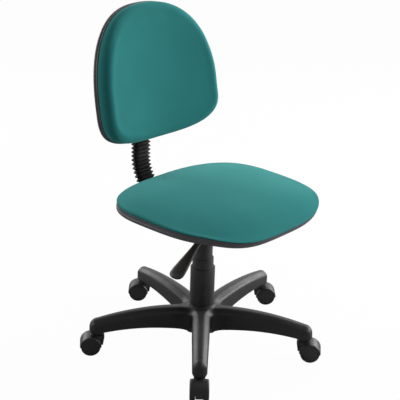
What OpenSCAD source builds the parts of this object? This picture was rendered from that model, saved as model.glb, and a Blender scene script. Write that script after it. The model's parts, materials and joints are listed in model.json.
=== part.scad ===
// Swivel office chair, in millimetres.
// The origin is on the floor under the column. +Z is up and the chair faces -Y.

/* [Base] */
// Distance from the column axis to each castor stem
stem_circle_r = 277; // [250:1:300]
// Direction of the first arm, counted from +X
first_arm_turn = -138.4; // [-180:0.1:0]
// Width of an arm beside the hub
arm_w = 45; // [42:1:50]
// Width of an arm at its castor
arm_end_w = 37; // [35:1:42]
// Greatest height of an arm's top above the castor boss
arm_crown = 56.5; // [52:0.5:62]
// Distance from the column axis to that highest point
arm_crown_r = 138; // [120:1:150]
// Radius of the arm's curved top
arm_top_curve = 715; // [650:5:900]
// Greatest height of an arm's lower edge above the castor boss
arm_arch = 8.8; // [5:0.1:12]
// Distance from the column axis to the top of that arch
arm_arch_r = 205; // [190:1:220]
// Radius of the arch
arm_arch_curve = 620; // [560:5:800]
// Width of the narrow flat along the top of an arm
arm_flat_w = 13; // [8:1:18]
// Wall of the hollow arms
arm_wall = 4; // [3:0.5:5]
// Thickness of the ribs under the arms
rib_t = 3; // [2:0.5:4]
// Outer diameter of the hub
hub_d = 72; // [68:1:78]
// Height of the hub's lower end below the castor bosses
hub_drop = 25; // [20:1:26]
// Height of the hub's top above the castor bosses
hub_rise = 54.5; // [50:0.5:58]
// Diameter of the castor boss under each arm
boss_d = 33; // [30:1:35]

/* [Castors] */
// Wheel diameter
wheel_d = 50; // [45:1:55]
// Width of one wheel
wheel_w = 13.5; // [11:0.5:15]
// Gap between the two wheels
wheel_gap = 19.5; // [18:0.5:24]
// Distance from the stem's axis to the axle
trail = 17; // [15:0.5:19]
// Thickness of the hood over the wheels
hood_t = 1.9; // [1.5:0.1:3]
// Room between a wheel and the hood
hood_gap = 0.6; // [0.4:0.1:1.5]
// Stem diameter
stem_d = 11; // [10:0.5:12]
// Length of stem inside the base
stem_l = 35; // [28:1:36]
// Axle diameter
axle_d = 6; // [5:0.5:8]
// Height of the collar between the hood and the base
collar_h = 3.5; // [3:0.1:4]
// Width of the rounded shoulder of a wheel and of the hood over it
shoulder_w = 6; // [4:0.5:7]
// How far that shoulder falls
shoulder_fall = 3; // [2:0.5:4]

/* [Column] */
// Outer diameter of the outer tube
tube_d = 44; // [43:0.25:44.25]
// Wall of the outer tube
tube_wall = 2; // [1.5:0.5:3]
// Length of the outer tube
tube_l = 216; // [205:1:225]
// Diameter of the gas cylinder
cylinder_d = 28; // [27:0.5:29]
// Wall of the gas cylinder
cylinder_wall = 1.5; // [1:0.25:2]
// Length of the gas cylinder
cylinder_l = 227; // [222:1:232]
// Length of the cylinder's tapered end
taper_l = 39; // [36:1:40]
// How much smaller the taper's tip is, across
taper_loss = 1.6; // [1:0.2:2.4]
// Diameter of the piston rod
rod_d = 10; // [8:0.5:11]
// Length of the guide bush in the outer tube
bush_l = 60; // [50:1:65]
// Diameter of the bearing balls
ball_d = 5; // [4:0.5:6]
// Number of bearing balls
ball_count = 10; // [6:1:10]
// Diameter of the valve button
button_d = 8; // [7:0.5:10]

/* [Column cover] */
// Outer diameter of the lower cover
cover_low_d = 63.5; // [63:0.25:66]
// Length of the lower cover
cover_low_l = 101; // [95:1:105]
// Outer diameter of the middle cover
cover_mid_d = 54.5; // [54:0.25:55]
// Length of the middle cover
cover_mid_l = 86; // [80:1:90]
// Outer diameter of the upper cover
cover_top_d = 48; // [47.5:0.25:48.25]
// Length of the upper cover
cover_top_l = 150; // [140:1:155]
// Wall of the covers
cover_wall = 1.6; // [1.2:0.1:1.7]
// Height of the middle cover's rim above the lower cover's
cover_mid_rise = 27; // [20:1:35]

/* [Seat] */
// Height of the seat board's underside above the floor
seat_h = 398.5; // [394:0.5:404]
// Width of the seat over its edge trim
seat_w = 470; // [450:5:490]
// Depth of the seat over its edge trim
seat_depth = 419; // [408:1:430]
// Distance that the seat's widest line lies ahead of the column
seat_ahead = 5; // [0:1:12]
// Thickness of the plywood board
board_t = 12; // [10:1:15]
// Length of the bend at the seat's front, back from its edge
seat_bend_l = 77; // [68:1:86]
// Radius of that bend
seat_bend_r = 134; // [125:1:160]
// Height of the cushion above the board
seat_crown = 32; // [28:1:38]
// Width of the edge trim's lips
trim_lip = 9; // [7:0.5:11]
// Thickness of the edge trim's lips
lip_t = 1.5; // [1:0.1:2]
// Thickness of the edge trim's outer wall
trim_wall = 3; // [2:0.5:4]

/* [Mechanism] */
// Width of the pressed box under the seat
box_w = 96; // [92:1:104]
// Length of the box
box_l = 195; // [190:1:200]
// Depth of the box below the board
box_h = 55; // [53:1:57]
// Sheet thickness of the box and its flange
sheet_t = 3; // [2.5:0.5:3.5]
// Bolt spacing across the seat
bolts_x = 160; // [150:1:170]
// Bolt spacing along the seat
bolts_y = 160; // [150:1:164]
// How far the middle of the bolts lies behind the column
bolts_behind = 14; // [10:1:18]
// Bolt diameter
bolt_d = 6; // [5:0.5:6]
// Distance between the arm-rest holes to the left and to the right
arm_holes_x = 330; // [300:2:340]
// Spacing of the two arm-rest holes on a side
arm_holes_y = 100; // [90:1:110]

/* [Lever] */
// Diameter of the lever's rod
lever_d = 10; // [8:0.5:10]
// Length of the lever from its bend to its tip
lever_l = 193; // [180:1:200]
// Slope of the lever below the horizontal
lever_droop = 30.7; // [26:0.1:34]
// Turn of the lever towards the front
lever_turn = 7; // [0:0.5:12]
// Width of the grip
grip_w = 38; // [32:1:42]
// Thickness of the grip
grip_t = 15; // [13:0.5:18]
// Length of the grip
grip_l = 124; // [115:1:130]
// How far the lever lies ahead of the column
lever_ahead = 82; // [80:0.5:84]

/* [Back bar] */
// Width of the steel bar
bar_w = 38; // [34:1:40]
// Thickness of the bar
bar_t = 8; // [6:0.5:9]
// Distance from the column axis to the upright part of the bar
bar_y = 229; // [224:1:236]
// Radius of the bar's bend, at its middle line
bar_bend_r = 104; // [95:1:108]
// Height of the bar's top above the floor
bar_top = 682.5; // [678:0.5:686]
// Outer width of the bellows
bellows_w = 58; // [54:1:62]
// Outer thickness of the bellows
bellows_t = 26; // [24:1:30]
// Depth of the bellows' folds
fold_h = 6; // [4:0.5:6]
// Distance from fold to fold
fold_pitch = 10.5; // [9:0.5:12]

/* [Backrest] */
// Width of the backrest over its edge trim
back_w = 400; // [390:2:420]
// Height of the backrest above its widest line
back_up = 244; // [235:1:252]
// Height of the backrest below its widest line
back_down = 96; // [90:1:102]
// Height of the widest line above the floor
back_h = 614.5; // [608:0.5:620]
// Distance from the column axis to the board at that line
back_y = 197; // [190:1:198]
// Backward tilt of the backrest
back_tilt = 10.6; // [10:0.1:12]
// Radius of the backrest's curve round the sitter
back_curve_r = 880; // [780:5:1000]
// Thickness of the backrest board
back_board_t = 10; // [8:1:12]
// Thickness of the backrest cushion
back_foam = 40; // [36:1:46]
// Thickness of the rear cover
rear_cover_t = 3; // [2:0.5:3.5]
// Width of the bracket that rides on the bar
sleeve_w = 62; // [60:1:68]
// Height of the bracket
sleeve_h = 128; // [122:1:130]
// Height of the bracket's lower end above the floor
sleeve_z = 547.5; // [542:0.5:552]
// Diameter of the clamping knob
knob_d = 45; // [38:1:52]

/* [Hidden] */

$fn = 64;

// Clearances: a running fit, a fixed fit, and the air round moving or soft neighbours
run_gap = 0.05;
seat_gap = 0.02;
air = 0.3;
// Cuts reach this far past the faces they open
over = 1;

black = "#1b1b1d";
plastic = "#242427";
steel = "#8f9296";
dark_steel = "#3a3a3d";
zinc = "#b5b7b8";
plywood = "#b58d5a";
teal = "#2c7c78";

arm_count = 5;
// Heading of each castor, from its stem to its axle
castor_headings = [-137, -54, -46, 133, 138];

axle_z = wheel_d / 2;
hood_r = wheel_d / 2 + hood_gap + hood_t;
hood_w = wheel_gap + 2 * wheel_w - 0.5;
boss_z = axle_z + hood_r + collar_h;
hub_z0 = boss_z - hub_drop;
hub_z1 = boss_z + hub_rise;
arm_top_z = boss_z + arm_crown;
arm_arch_z = boss_z + arm_arch;

// Column
tube_r = tube_d / 2;
tube_z0 = hub_z0 + 6;
tube_z1 = tube_z0 + tube_l;
tube_foot_t = 4;
tube_cone_l = 58;
tube_cone_loss = 1.5;
bore_r = tube_r - tube_wall;
race_t = 2.5;
race_z = tube_z0 + tube_foot_t;
ball_z = race_z + race_t + ball_d / 2 + run_gap / 2;
washer_z = ball_z + ball_d / 2 + run_gap / 2;
ball_circle_r = rod_d / 2 + ball_d / 2 + 3.5;
race_r = ball_circle_r + ball_d / 2 + 1;
rod_r = rod_d / 2;
spigot_r = rod_r - 1;
rod_collar_r = rod_r + 4;
rod_collar_h = 4;
clip_t = 2.4;
clip_r = 9;
groove_depth = 0.6;
piston_h = 12;
piston_z = tube_z1 - 25;

// Mechanism heights, counted down from the seat board
box_z0 = seat_h - box_h;
box_floor_z = box_z0 + sheet_t;
socket_r = 20;
socket_below = 5;
socket_z0 = box_z0 - socket_below;
cylinder_z1 = socket_z0 + taper_l;
cylinder_z0 = cylinder_z1 - cylinder_l;
cylinder_r = cylinder_d / 2;
chamber_r = cylinder_r - cylinder_wall;
chamber_z0 = cylinder_z0 + 12;
chamber_z1 = cylinder_z1 - 18;
button_r = button_d / 2;
button_rise = 5.3;
button_z = cylinder_z1 + button_rise - button_r;

// Covers
cover_low_z1 = hub_z1 + cover_low_l;
cover_mid_z1 = cover_low_z1 + cover_mid_rise;
cover_top_z1 = socket_z0 - air;
guide_h = 3;

// Seat
seat_front_share = 0.592;
seat_front = seat_depth * seat_front_share;
seat_back = seat_depth - seat_front;
seat_front_n = 3.39;
seat_back_n = 2.6;
seat_wall_h = 8;
outline_points = 56;
board_top = seat_h + board_t;
trim_z0 = seat_h - lip_t;
trim_z1 = board_top + lip_t;
foam_z0 = trim_z1 + air;

// Mechanism
flange_w = bolts_x + 30;
flange_l = bolts_y + 40;
flange_z = seat_h - sheet_t;
box_y1 = 95;
box_y0 = box_y1 - box_l;
head_h = 4;
head_d = bolt_d * 1.9;
nut_barrel_r = bolt_d / 2 + 1.05;
nut_flange_r = 9;
nut_sink = 1;
arm_holes_ahead = 10;
arm_hole_places = [for (sx = [-1, 1], sy = [-1, 1])
    [sx * arm_holes_x / 2, sy * arm_holes_y / 2 - arm_holes_ahead]];
plate_hole_places = [for (sx = [-1, 1], sy = [-1, 1]) [sx * bolts_x / 2, sy * bolts_y / 2 + bolts_behind]];
bend_y = seat_bend_l - seat_front - seat_ahead;

// Lever
pin_r = 3;
pin_x = -(box_w / 2 - sheet_t - 7);
finger_t = 5;
finger_z = cylinder_z1 + button_rise + 0.15;
pin_z = finger_z - 7.5;
rod_z = finger_z + finger_t / 2;
bend_x = -box_w / 2 - 4;
grip_start = lever_l - grip_l;
grip_socket = 40;
ear_t = 4;
ear_places = [-lever_ahead + 12, -20];

// Back bar
bar_z = box_floor_z + bar_t / 2;
bar_centre_y = bar_y - bar_bend_r;
bar_centre_z = bar_z + bar_bend_r;
bar_y0 = socket_r + 14;
bar_bolt_places = [bar_y0 + 14, bar_y0 + 44];
bar_bolt_d = 8;
slide_gap = 0.2;
bellows_low_turn = 55;
bellows_wall = 1.4;
bellows_top = sleeve_z - air;
bellows_arc_l = bar_bend_r * bellows_low_turn * PI / 180;
bellows_l = bellows_arc_l + bellows_top - bar_centre_z;
folds = floor(bellows_l / fold_pitch);
bellows_points = 24;

// Backrest
back_up_n = 2.38;
back_down_n = 2.92;
back_wall_h = back_foam - 6;
back_half_t = back_board_t / 2;
cover_back = back_half_t + rear_cover_t;
foam_front = back_half_t + lip_t + air;
bracket_flange_w = 96;
bracket_flange_t = 5;
bracket_y1 = bar_y + bar_t / 2 + slide_gap + 10;
bracket_flange_low = -66;
bracket_flange_high = 70;
back_bolt_places = [for (sx = [-1, 1], w = [-50, 54]) [sx * 38, w]];
knob_z = sleeve_z + 40;
knob_y = bracket_y1 + 3;
knob_h = 22;
screw_r = 4;

// Rounded outlines: a superellipse with its own squareness to the front and to the back
function bent(c, n) = sign(c) * pow(abs(c), 2 / n);
function outline(a, up, down, n_up, n_down, count) = [
    for (i = [0:count - 1])
        let (t = 360 * i / count, n = sin(t) > 0 ? n_up : n_down, h = sin(t) > 0 ? up : down)
        [a * bent(cos(t), n), h * bent(sin(t), n)]];
function seat_outline(inset, k = 1) = [
    for (p = outline(seat_w / 2 - inset, seat_back - inset, seat_front - inset, seat_back_n,
            seat_front_n, outline_points))
        [p[0] * k, p[1] * k - seat_ahead]];
function back_outline(inset, k = 1) = k * outline(back_w / 2 - inset, back_up - inset,
    back_down - inset, back_up_n, back_down_n, outline_points);

// A point of the seat's plan at height z, carried round the bend at the front
function seat_point(p, z) = let (
        turn = asin(max(0, bend_y - p[1]) / (seat_bend_r + board_t / 2)),
        r = seat_bend_r + z - seat_h)
    turn > 0 ? [p[0], bend_y - r * sin(turn), z - r * (1 - cos(turn))] : [p[0], p[1], z];
function seat_ring(inset, k, z) = [for (p = seat_outline(inset, k)) seat_point(p, z)];
// Forward reach of the backrest at x, round the sitter
function back_reach(x) = back_curve_r - sqrt(back_curve_r * back_curve_r - x * x);

// Skin over a stack of rings of equal length, closed at both ends by a fan
module loft(rings, low, high) {
    m = len(rings);
    n = len(rings[0]);
    skin = [for (i = [0:m - 2], j = [0:n - 1])
        let (a = 1 + i * n + j, b = 1 + i * n + (j + 1) % n) each [[a, a + n, b + n], [a, b + n, b]]];
    floor_fan = [for (j = [0:n - 1]) [0, 1 + j, 1 + (j + 1) % n]];
    roof_fan = [for (j = [0:n - 1]) [m * n + 1, 1 + (m - 1) * n + (j + 1) % n, 1 + (m - 1) * n + j]];
    polyhedron(concat([low], [for (r = rings) each r], [high]), concat(floor_fan, skin, roof_fan));
}

// Skin over rings that run up the outside and back down the inside
module loft_tube(rings) {
    m = len(rings);
    n = len(rings[0]);
    skin = [for (i = [0:m - 1], j = [0:n - 1])
        let (a = i * n + j, b = i * n + (j + 1) % n, c = ((i + 1) % m) * n + j,
            d = ((i + 1) % m) * n + (j + 1) % n)
        each [[a, c, d], [a, d, b]]];
    polyhedron([for (r = rings) each r], skin);
}

module tube(r_out, r_in, z0, z1) {
    translate([0, 0, z0]) difference() {
        cylinder(r = r_out, h = z1 - z0);
        translate([0, 0, -over]) cylinder(r = r_in, h = z1 - z0 + 2 * over);
    }
}

module rounded_plate(w, l, r, t) {
    linear_extrude(t) union() {
        square([w - 2 * r, l], center = true);
        square([w, l - 2 * r], center = true);
        for (sx = [-1, 1], sy = [-1, 1]) translate([sx * (w / 2 - r), sy * (l / 2 - r)]) circle(r);
    }
}

// ---- Base ----

function arm_top(r) = arm_top_z - pow(r - arm_crown_r, 2) / (2 * arm_top_curve);
function arm_low(r) = arm_arch_z - pow(r - arm_arch_r, 2) / (2 * arm_arch_curve);
function arm_half(r) = let (root_r = hub_d / 2 + 34, spread = r < root_r ? pow((root_r - r) / 40, 2) : 0)
    arm_w / 2 - (arm_w - arm_end_w) / 2 * max(0, r - 110) / (stem_circle_r - 110) + 14 * spread;

// Section of an arm across its run: half width w, lower edge low, top
function arm_section(r, w, low, top) = let (
        k = w / (arm_w / 2),
        flat = arm_flat_w / 2,
        side = [[w - 1.5, low], [w, low + 3], [w, top - 16], [w - 1.5 * k, top - 11],
            [w - 4.5 * k, top - 7], [flat + 3 * k, top - 0.8], [flat * min(k, 1), top]])
    concat([for (p = side) [r, p[0], p[1]]], [for (i = [len(side) - 1:-1:0]) [r, -side[i][0], side[i][1]]]);

arm_stations = [for (r = [20:14:stem_circle_r - 8]) r];
tip_turns = [0, 25, 45, 60, 72, 82];
tip_reach = 20;
tip_fall = 19;

module arm_body() {
    run = [for (r = arm_stations) arm_section(r, arm_half(r), arm_low(r), arm_top(r))];
    tip = [for (t = tip_turns) let (r = stem_circle_r + tip_reach * sin(t))
        arm_section(r, arm_end_w / 2 * pow(cos(t), 0.8), arm_low(stem_circle_r),
            arm_top(stem_circle_r) - tip_fall * (1 - cos(t)))];
    end_r = stem_circle_r + tip_reach;
    loft(concat(run, tip), [arm_stations[0], 0, arm_low(40)], [end_r, 0, arm_low(stem_circle_r) + 12]);
}

cell_start = hub_d / 2 + 12;
cell_end = stem_circle_r - boss_d / 2 - 8;
cell_count = 4;

// The hollow under an arm, parted into cells by cross ribs and one long rib
module arm_hollow() {
    pitch = (cell_end - cell_start) / cell_count;
    steps = 3;
    for (c = [0:cell_count - 1], s = [-1, 1]) {
        r0 = cell_start + c * pitch + rib_t / 2;
        r1 = cell_start + (c + 1) * pitch - rib_t / 2;
        rings = [for (i = [0:steps])
            let (r = r0 + (r1 - r0) * i / steps, w = arm_half(r) - arm_wall, y0 = rib_t / 2)
            [[r, w, arm_low(r) - 10], [r, w, arm_top(r) - 18], [r, y0 + 5, arm_top(r) - 8],
             [r, y0, arm_top(r) - 8], [r, y0, arm_low(r) - 10]]];
        low = [r0, rib_t / 2 + 6, arm_low(r0)];
        high = [r1, rib_t / 2 + 6, arm_low(r1)];
        if (s > 0) loft(rings, low, high);
        else mirror([0, 1, 0]) loft(rings, low, high);
    }
}

module at_arms() {
    for (i = [0:arm_count - 1]) rotate(first_arm_turn + i * 360 / arm_count) children();
}

module tube_outside(z0, fit) {
    top = tube_z0 + tube_cone_l;
    low = tube_z0 + min(z0, 0);
    translate([0, 0, tube_z0 + z0])
        cylinder(r1 = tube_r - tube_cone_loss + fit + z0 * tube_cone_loss / tube_cone_l,
        r2 = tube_r + fit, h = tube_cone_l - z0);
    translate([0, 0, top]) cylinder(r = tube_r + fit, h = tube_z1 - top);
}

module five_star_base() {
    color(black) difference() {
        union() {
            translate([0, 0, hub_z0]) cylinder(r = hub_d / 2, h = hub_z1 - hub_z0);
            at_arms() arm_body();
            at_arms() translate([stem_circle_r, 0, boss_z]) cylinder(r = boss_d / 2, h = arm_arch + 8);
        }
        at_arms() arm_hollow();
        at_arms() translate([stem_circle_r, 0, boss_z - over])
            cylinder(r = stem_d / 2 + run_gap, h = stem_l + over + 0.5);
        tube_outside(-10, seat_gap);
    }
}

// ---- Column ----

module column_tube() {
    color(dark_steel) difference() {
        tube_outside(0, 0);
        translate([0, 0, race_z]) cylinder(r = bore_r, h = tube_l);
        translate([0, 0, tube_z0 - over]) cylinder(r = spigot_r + run_gap, h = tube_foot_t + 2 * over);
    }
}

module column_bush() {
    color("#d8d8d2") difference() {
        union() {
            translate([0, 0, tube_z1 - bush_l]) cylinder(r = bore_r - seat_gap, h = bush_l);
            translate([0, 0, tube_z1]) cylinder(r = tube_r, h = 3);
        }
        translate([0, 0, tube_z1 - bush_l - over])
            cylinder(r = cylinder_r + run_gap, h = bush_l + 3 + 2 * over);
    }
}

module bearing_race() {
    color(zinc) tube(race_r, rod_r + 1, race_z, race_z + race_t);
}

module bearing_washer() {
    color(zinc) tube(race_r, rod_r + seat_gap, washer_z, washer_z + race_t);
}

module bearing_balls() {
    color("#c9cbcc") for (i = [0:ball_count - 1])
        rotate(i * 360 / ball_count) translate([ball_circle_r, 0, ball_z]) sphere(r = ball_d / 2);
}

module piston_rod() {
    collar_z = washer_z + race_t;
    clip_z = tube_z0 - air;
    color(steel) difference() {
        union() {
            translate([0, 0, clip_z - clip_t - 1.5])
                cylinder(r = spigot_r, h = race_z - clip_z + clip_t + 1.5 + 0.3);
            translate([0, 0, race_z + 0.3]) cylinder(r = rod_r, h = piston_z - race_z - 0.3);
            translate([0, 0, collar_z]) cylinder(r = rod_collar_r, h = rod_collar_h);
            translate([0, 0, piston_z]) cylinder(r = chamber_r - run_gap, h = piston_h);
        }
        tube(spigot_r + over, spigot_r - groove_depth, clip_z - clip_t, clip_z);
    }
}

module rod_clip() {
    clip_z = tube_z0 - air;
    color(zinc)
        tube(clip_r, spigot_r - groove_depth + seat_gap, clip_z - clip_t + seat_gap, clip_z - seat_gap);
}

module gas_cylinder() {
    color("#2c2c30") difference() {
        union() {
            translate([0, 0, cylinder_z0]) cylinder(r = cylinder_r, h = cylinder_l - taper_l);
            translate([0, 0, socket_z0])
                cylinder(r1 = cylinder_r, r2 = cylinder_r - taper_loss / 2, h = taper_l);
        }
        translate([0, 0, chamber_z0]) cylinder(r = chamber_r, h = chamber_z1 - chamber_z0);
        translate([0, 0, cylinder_z0 - over])
            cylinder(r = rod_r + run_gap, h = chamber_z0 - cylinder_z0 + 2 * over);
        translate([0, 0, chamber_z1 - over])
            cylinder(r = button_r + run_gap, h = cylinder_z1 - chamber_z1 + 2 * over);
    }
}

module valve_button() {
    foot = chamber_z1 + 1;
    color("#c8382e") union() {
        translate([0, 0, foot]) cylinder(r = button_r, h = button_z - foot);
        translate([0, 0, button_z]) sphere(r = button_r);
    }
}

// ---- Covers: each is a tube with a guiding lip where it meets the next ----

module cover_lower() {
    r = cover_low_d / 2;
    color(plastic) difference() {
        translate([0, 0, hub_z1]) cylinder(r = r, h = cover_low_l);
        translate([0, 0, hub_z1 - over]) cylinder(r = r - cover_wall, h = cover_low_l - guide_h + over);
        translate([0, 0, hub_z1]) cylinder(r = cover_mid_d / 2 + air, h = cover_low_l + over);
    }
}

module cover_middle() {
    r = cover_mid_d / 2;
    z0 = cover_mid_z1 - cover_mid_l;
    color(plastic) difference() {
        union() {
            translate([0, 0, z0]) cylinder(r = r, h = cover_mid_l);
            translate([0, 0, z0]) cylinder(r = cover_low_d / 2 - cover_wall - air, h = guide_h);
        }
        translate([0, 0, z0 - over]) cylinder(r = r - cover_wall, h = cover_mid_l - guide_h + over);
        translate([0, 0, z0]) cylinder(r = cover_top_d / 2 + air, h = cover_mid_l + over);
    }
}

module cover_upper() {
    r = cover_top_d / 2;
    z0 = cover_top_z1 - cover_top_l;
    color(plastic) difference() {
        union() {
            translate([0, 0, z0]) cylinder(r = r, h = cover_top_l);
            translate([0, 0, z0]) cylinder(r = cover_mid_d / 2 - cover_wall - air, h = guide_h);
        }
        translate([0, 0, z0 - over]) cylinder(r = r - cover_wall, h = cover_top_l - guide_h + over);
        translate([0, 0, z0]) cylinder(r = cylinder_r + 0.1, h = cover_top_l + over);
    }
}

// ---- Mechanism ----

module taper_socket() {
    color(dark_steel) difference() {
        translate([0, 0, socket_z0]) cylinder(r = socket_r, h = taper_l + 1);
        translate([0, 0, socket_z0])
            cylinder(r1 = cylinder_r + seat_gap, r2 = cylinder_r - taper_loss / 2 + seat_gap,
            h = taper_l);
        translate([0, 0, cylinder_z1 - over]) cylinder(r = cylinder_r, h = 3);
        translate([0, 0, socket_z0 - over]) cylinder(r = cylinder_r + seat_gap, h = 2 * over - 0.9);
    }
}

module seat_box() {
    lug_y = ear_places[1] + ear_t / 2 + 4;
    color(black) difference() {
        union() {
            // Pressed box
            difference() {
                translate([0, (box_y0 + box_y1) / 2, box_z0])
                    rounded_plate(box_w, box_l, 14, box_h - sheet_t);
                translate([0, (box_y0 + box_y1) / 2, box_floor_z])
                    rounded_plate(box_w - 2 * sheet_t, box_l - 2 * sheet_t, 14 - sheet_t, box_h);
            }
            // Flange under the seat board
            difference() {
                translate([0, bolts_behind, flange_z]) rounded_plate(flange_w, flange_l, 16, sheet_t);
                translate([0, (box_y0 + box_y1) / 2, flange_z - over])
                    rounded_plate(box_w - 2 * sheet_t, box_l - 2 * sheet_t, 14 - sheet_t, sheet_t + 2 * over);
            }
            // Lug that carries the inner end of the lever's pin
            translate([-box_w / 2 + sheet_t, lug_y, box_floor_z]) cube([16, 4, pin_z + 5 - box_floor_z]);
        }
        for (p = plate_hole_places) translate([p[0], p[1], flange_z - over])
            cylinder(r = bolt_d / 2 + air, h = sheet_t + 2 * over);
        translate([0, 0, box_z0 - over]) cylinder(r = socket_r + seat_gap, h = sheet_t + 2 * over);
        // Slot for the lever's rod
        translate([-box_w / 2 - over, -lever_ahead - 8.5, rod_z - lever_d / 2 - 3])
            cube([sheet_t + 2 * over, 17, lever_d + 7]);
        // Slot for the back bar
        translate([-bar_w / 2 - slide_gap, box_y1 - sheet_t - over, box_floor_z])
            cube([bar_w + 2 * slide_gap, sheet_t + 2 * over, bar_t + 2 * slide_gap]);
        for (y = bar_bolt_places) translate([0, y, box_z0 - over])
            cylinder(r = bar_bolt_d / 2 + air, h = sheet_t + 2 * over);
        translate([pin_x, box_y0 - over, pin_z]) rotate([-90, 0, 0])
            cylinder(r = pin_r + seat_gap, h = lug_y + 4 + over - box_y0);
    }
}

module lever_pin() {
    lug_y = ear_places[1] + ear_t / 2 + 4;
    color(zinc) translate([pin_x, box_y0 - 2, pin_z]) rotate([-90, 0, 0])
        cylinder(r = pin_r, h = lug_y + 6 - box_y0 + 2);
}

module plate_bolts() {
    color(zinc) for (p = plate_hole_places) translate([p[0], p[1], flange_z]) union() {
        cylinder(r = bolt_d / 2, h = board_t + sheet_t - 1);
        translate([0, 0, -head_h]) cylinder(r = head_d / 2, h = head_h, $fn = 6);
    }
}

module board_nuts() {
    color(zinc) for (p = concat(plate_hole_places, arm_hole_places)) translate([p[0], p[1], 0])
        t_nut(seat_h, board_top);
}

// T-nut whose barrel fills a board from z0 to z1
module t_nut(z0, z1) {
    difference() {
        union() {
            translate([0, 0, z0]) cylinder(r = nut_barrel_r, h = z1 - z0);
            translate([0, 0, z1]) cylinder(r = nut_flange_r, h = lip_t - 0.1);
        }
        translate([0, 0, z0 - over]) cylinder(r = bolt_d / 2 + seat_gap, h = z1 - z0 + lip_t + 2 * over);
    }
}

// ---- Seat ----

// Sheet that follows the seat's bend, from height z0 to z1 above the floor
module seat_sheet(z0, z1) {
    low_r = seat_bend_r + z0 - seat_h;
    high_r = seat_bend_r + z1 - seat_h;
    sweep = 1.4 * asin(seat_bend_l / (seat_bend_r + board_t / 2));
    steps = 12;
    rear = seat_back + 40;
    low = [for (i = [0:steps]) let (t = sweep * i / steps)
        [bend_y - low_r * sin(t), z0 - low_r * (1 - cos(t))]];
    high = [for (i = [steps:-1:0]) let (t = sweep * i / steps)
        [bend_y - high_r * sin(t), z1 - high_r * (1 - cos(t))]];
    rotate([90, 0, 90]) translate([0, 0, -seat_w]) linear_extrude(2 * seat_w)
        polygon(concat([[rear, z0]], low, high, [[rear, z1]]));
}

// Column over the seat's plan that turns with the bend, to cut sheets with
module seat_column(inset) {
    low = seat_h - 2 * board_t;
    high = board_top + 2.5 * board_t;
    loft([seat_ring(inset, 1, low), seat_ring(inset, 1, high)],
        [0, 0, low - board_t], [0, 0, high + board_t]);
}

module seat_board() {
    color(plywood) difference() {
        intersection() {
            seat_sheet(seat_h, board_top);
            seat_column(trim_wall);
        }
        for (p = concat(plate_hole_places, arm_hole_places)) translate([p[0], p[1], seat_h - over])
            cylinder(r = nut_barrel_r + seat_gap, h = board_t + 2 * over);
    }
}

module seat_trim() {
    color(black) difference() {
        intersection() {
            seat_sheet(trim_z0, trim_z1);
            seat_column(0);
        }
        intersection() {
            seat_sheet(seat_h, board_top);
            seat_column(trim_wall);
        }
        seat_column(trim_lip);
    }
}

module seat_cushion() {
    wall = seat_wall_h;
    floor_rings = [for (k = [0.3, 0.6, 0.68, 0.72, 0.76, 0.8, 0.84, 0.88, 0.92, 0.96, 1])
        seat_ring(7, k, foam_z0)];
    side_rings = [seat_ring(2, 1, foam_z0 + wall * 0.2), seat_ring(0, 1, foam_z0 + wall * 0.45),
        seat_ring(3, 1, foam_z0 + wall * 0.8), seat_ring(10, 1, foam_z0 + wall)];
    roof_rings = [for (k = [0.96, 0.92, 0.87, 0.81, 0.74, 0.66, 0.55, 0.4, 0.2])
        seat_ring(12, k, foam_z0 + wall + (seat_crown - wall) * (1 - pow(k, 2.6)))];
    color(teal) loft(concat(floor_rings, side_rings, roof_rings), [0, -seat_ahead, foam_z0],
        [0, -seat_ahead, foam_z0 + seat_crown]);
}

// ---- Lever ----

module lever_place() {
    translate([bend_x, -lever_ahead, rod_z]) rotate([0, lever_droop, 180 + lever_turn]) children();
}

module lever_rod() {
    finger = [[pin_x - 6, -lever_ahead - 8], [pin_x + 8, -lever_ahead - 8], [pin_x + 8, -24], [5, -8], [5, 8],
        [-10, 8], [pin_x - 6, -14]];
    color(dark_steel) difference() {
        union() {
            translate([0, 0, finger_z]) linear_extrude(finger_t) polygon(finger);
            for (y = ear_places) translate([pin_x - 5, y - ear_t / 2, pin_z - 5])
                cube([10, ear_t, finger_z - pin_z + 6]);
            translate([bend_x, -lever_ahead, rod_z]) rotate([0, 90, 0])
                cylinder(r = lever_d / 2, h = pin_x - bend_x);
            translate([bend_x, -lever_ahead, rod_z]) sphere(r = lever_d / 2);
            lever_place() rotate([0, 90, 0]) cylinder(r = lever_d / 2, h = grip_start + grip_socket);
        }
        translate([pin_x, -lever_ahead - 20, pin_z]) rotate([-90, 0, 0])
            cylinder(r = pin_r + run_gap, h = lever_ahead + 40);
    }
}

// Half width and half thickness of the grip at a share s of its length
grip_neck = lever_d / 2 + 2;
function grip_half(s) = grip_neck + (grip_w / 2 - grip_neck) * (1 - pow(cos(90 * min(s / 0.86, 1)), 1.4));
function grip_depth(s) = grip_neck + (grip_t / 2 - grip_neck) * min(s / 0.6, 1);
function grip_ring(x, a, b) = [for (p = outline(a, b, b, 2.4, 2.4, 24)) [x, p[0], p[1]]];

module lever_grip() {
    run = [for (s = [0, 0.15, 0.3, 0.45, 0.6, 0.72, 0.82, 0.88])
        grip_ring(s * grip_l, grip_half(s), grip_depth(s))];
    tip = [for (t = [30, 50, 68, 82])
        grip_ring((0.88 + 0.12 * sin(t)) * grip_l, grip_w / 2 * pow(cos(t), 0.75),
            grip_t / 2 * pow(cos(t), 0.6))];
    color(black) difference() {
        lever_place() translate([grip_start, 0, 0]) loft(concat(run, tip), [0, 0, 0], [grip_l, 0, 0]);
        lever_place() translate([grip_start - over, 0, 0]) rotate([0, 90, 0])
            cylinder(r = lever_d / 2 + seat_gap, h = grip_socket + over + air);
    }
}

// ---- Back bar ----

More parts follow.
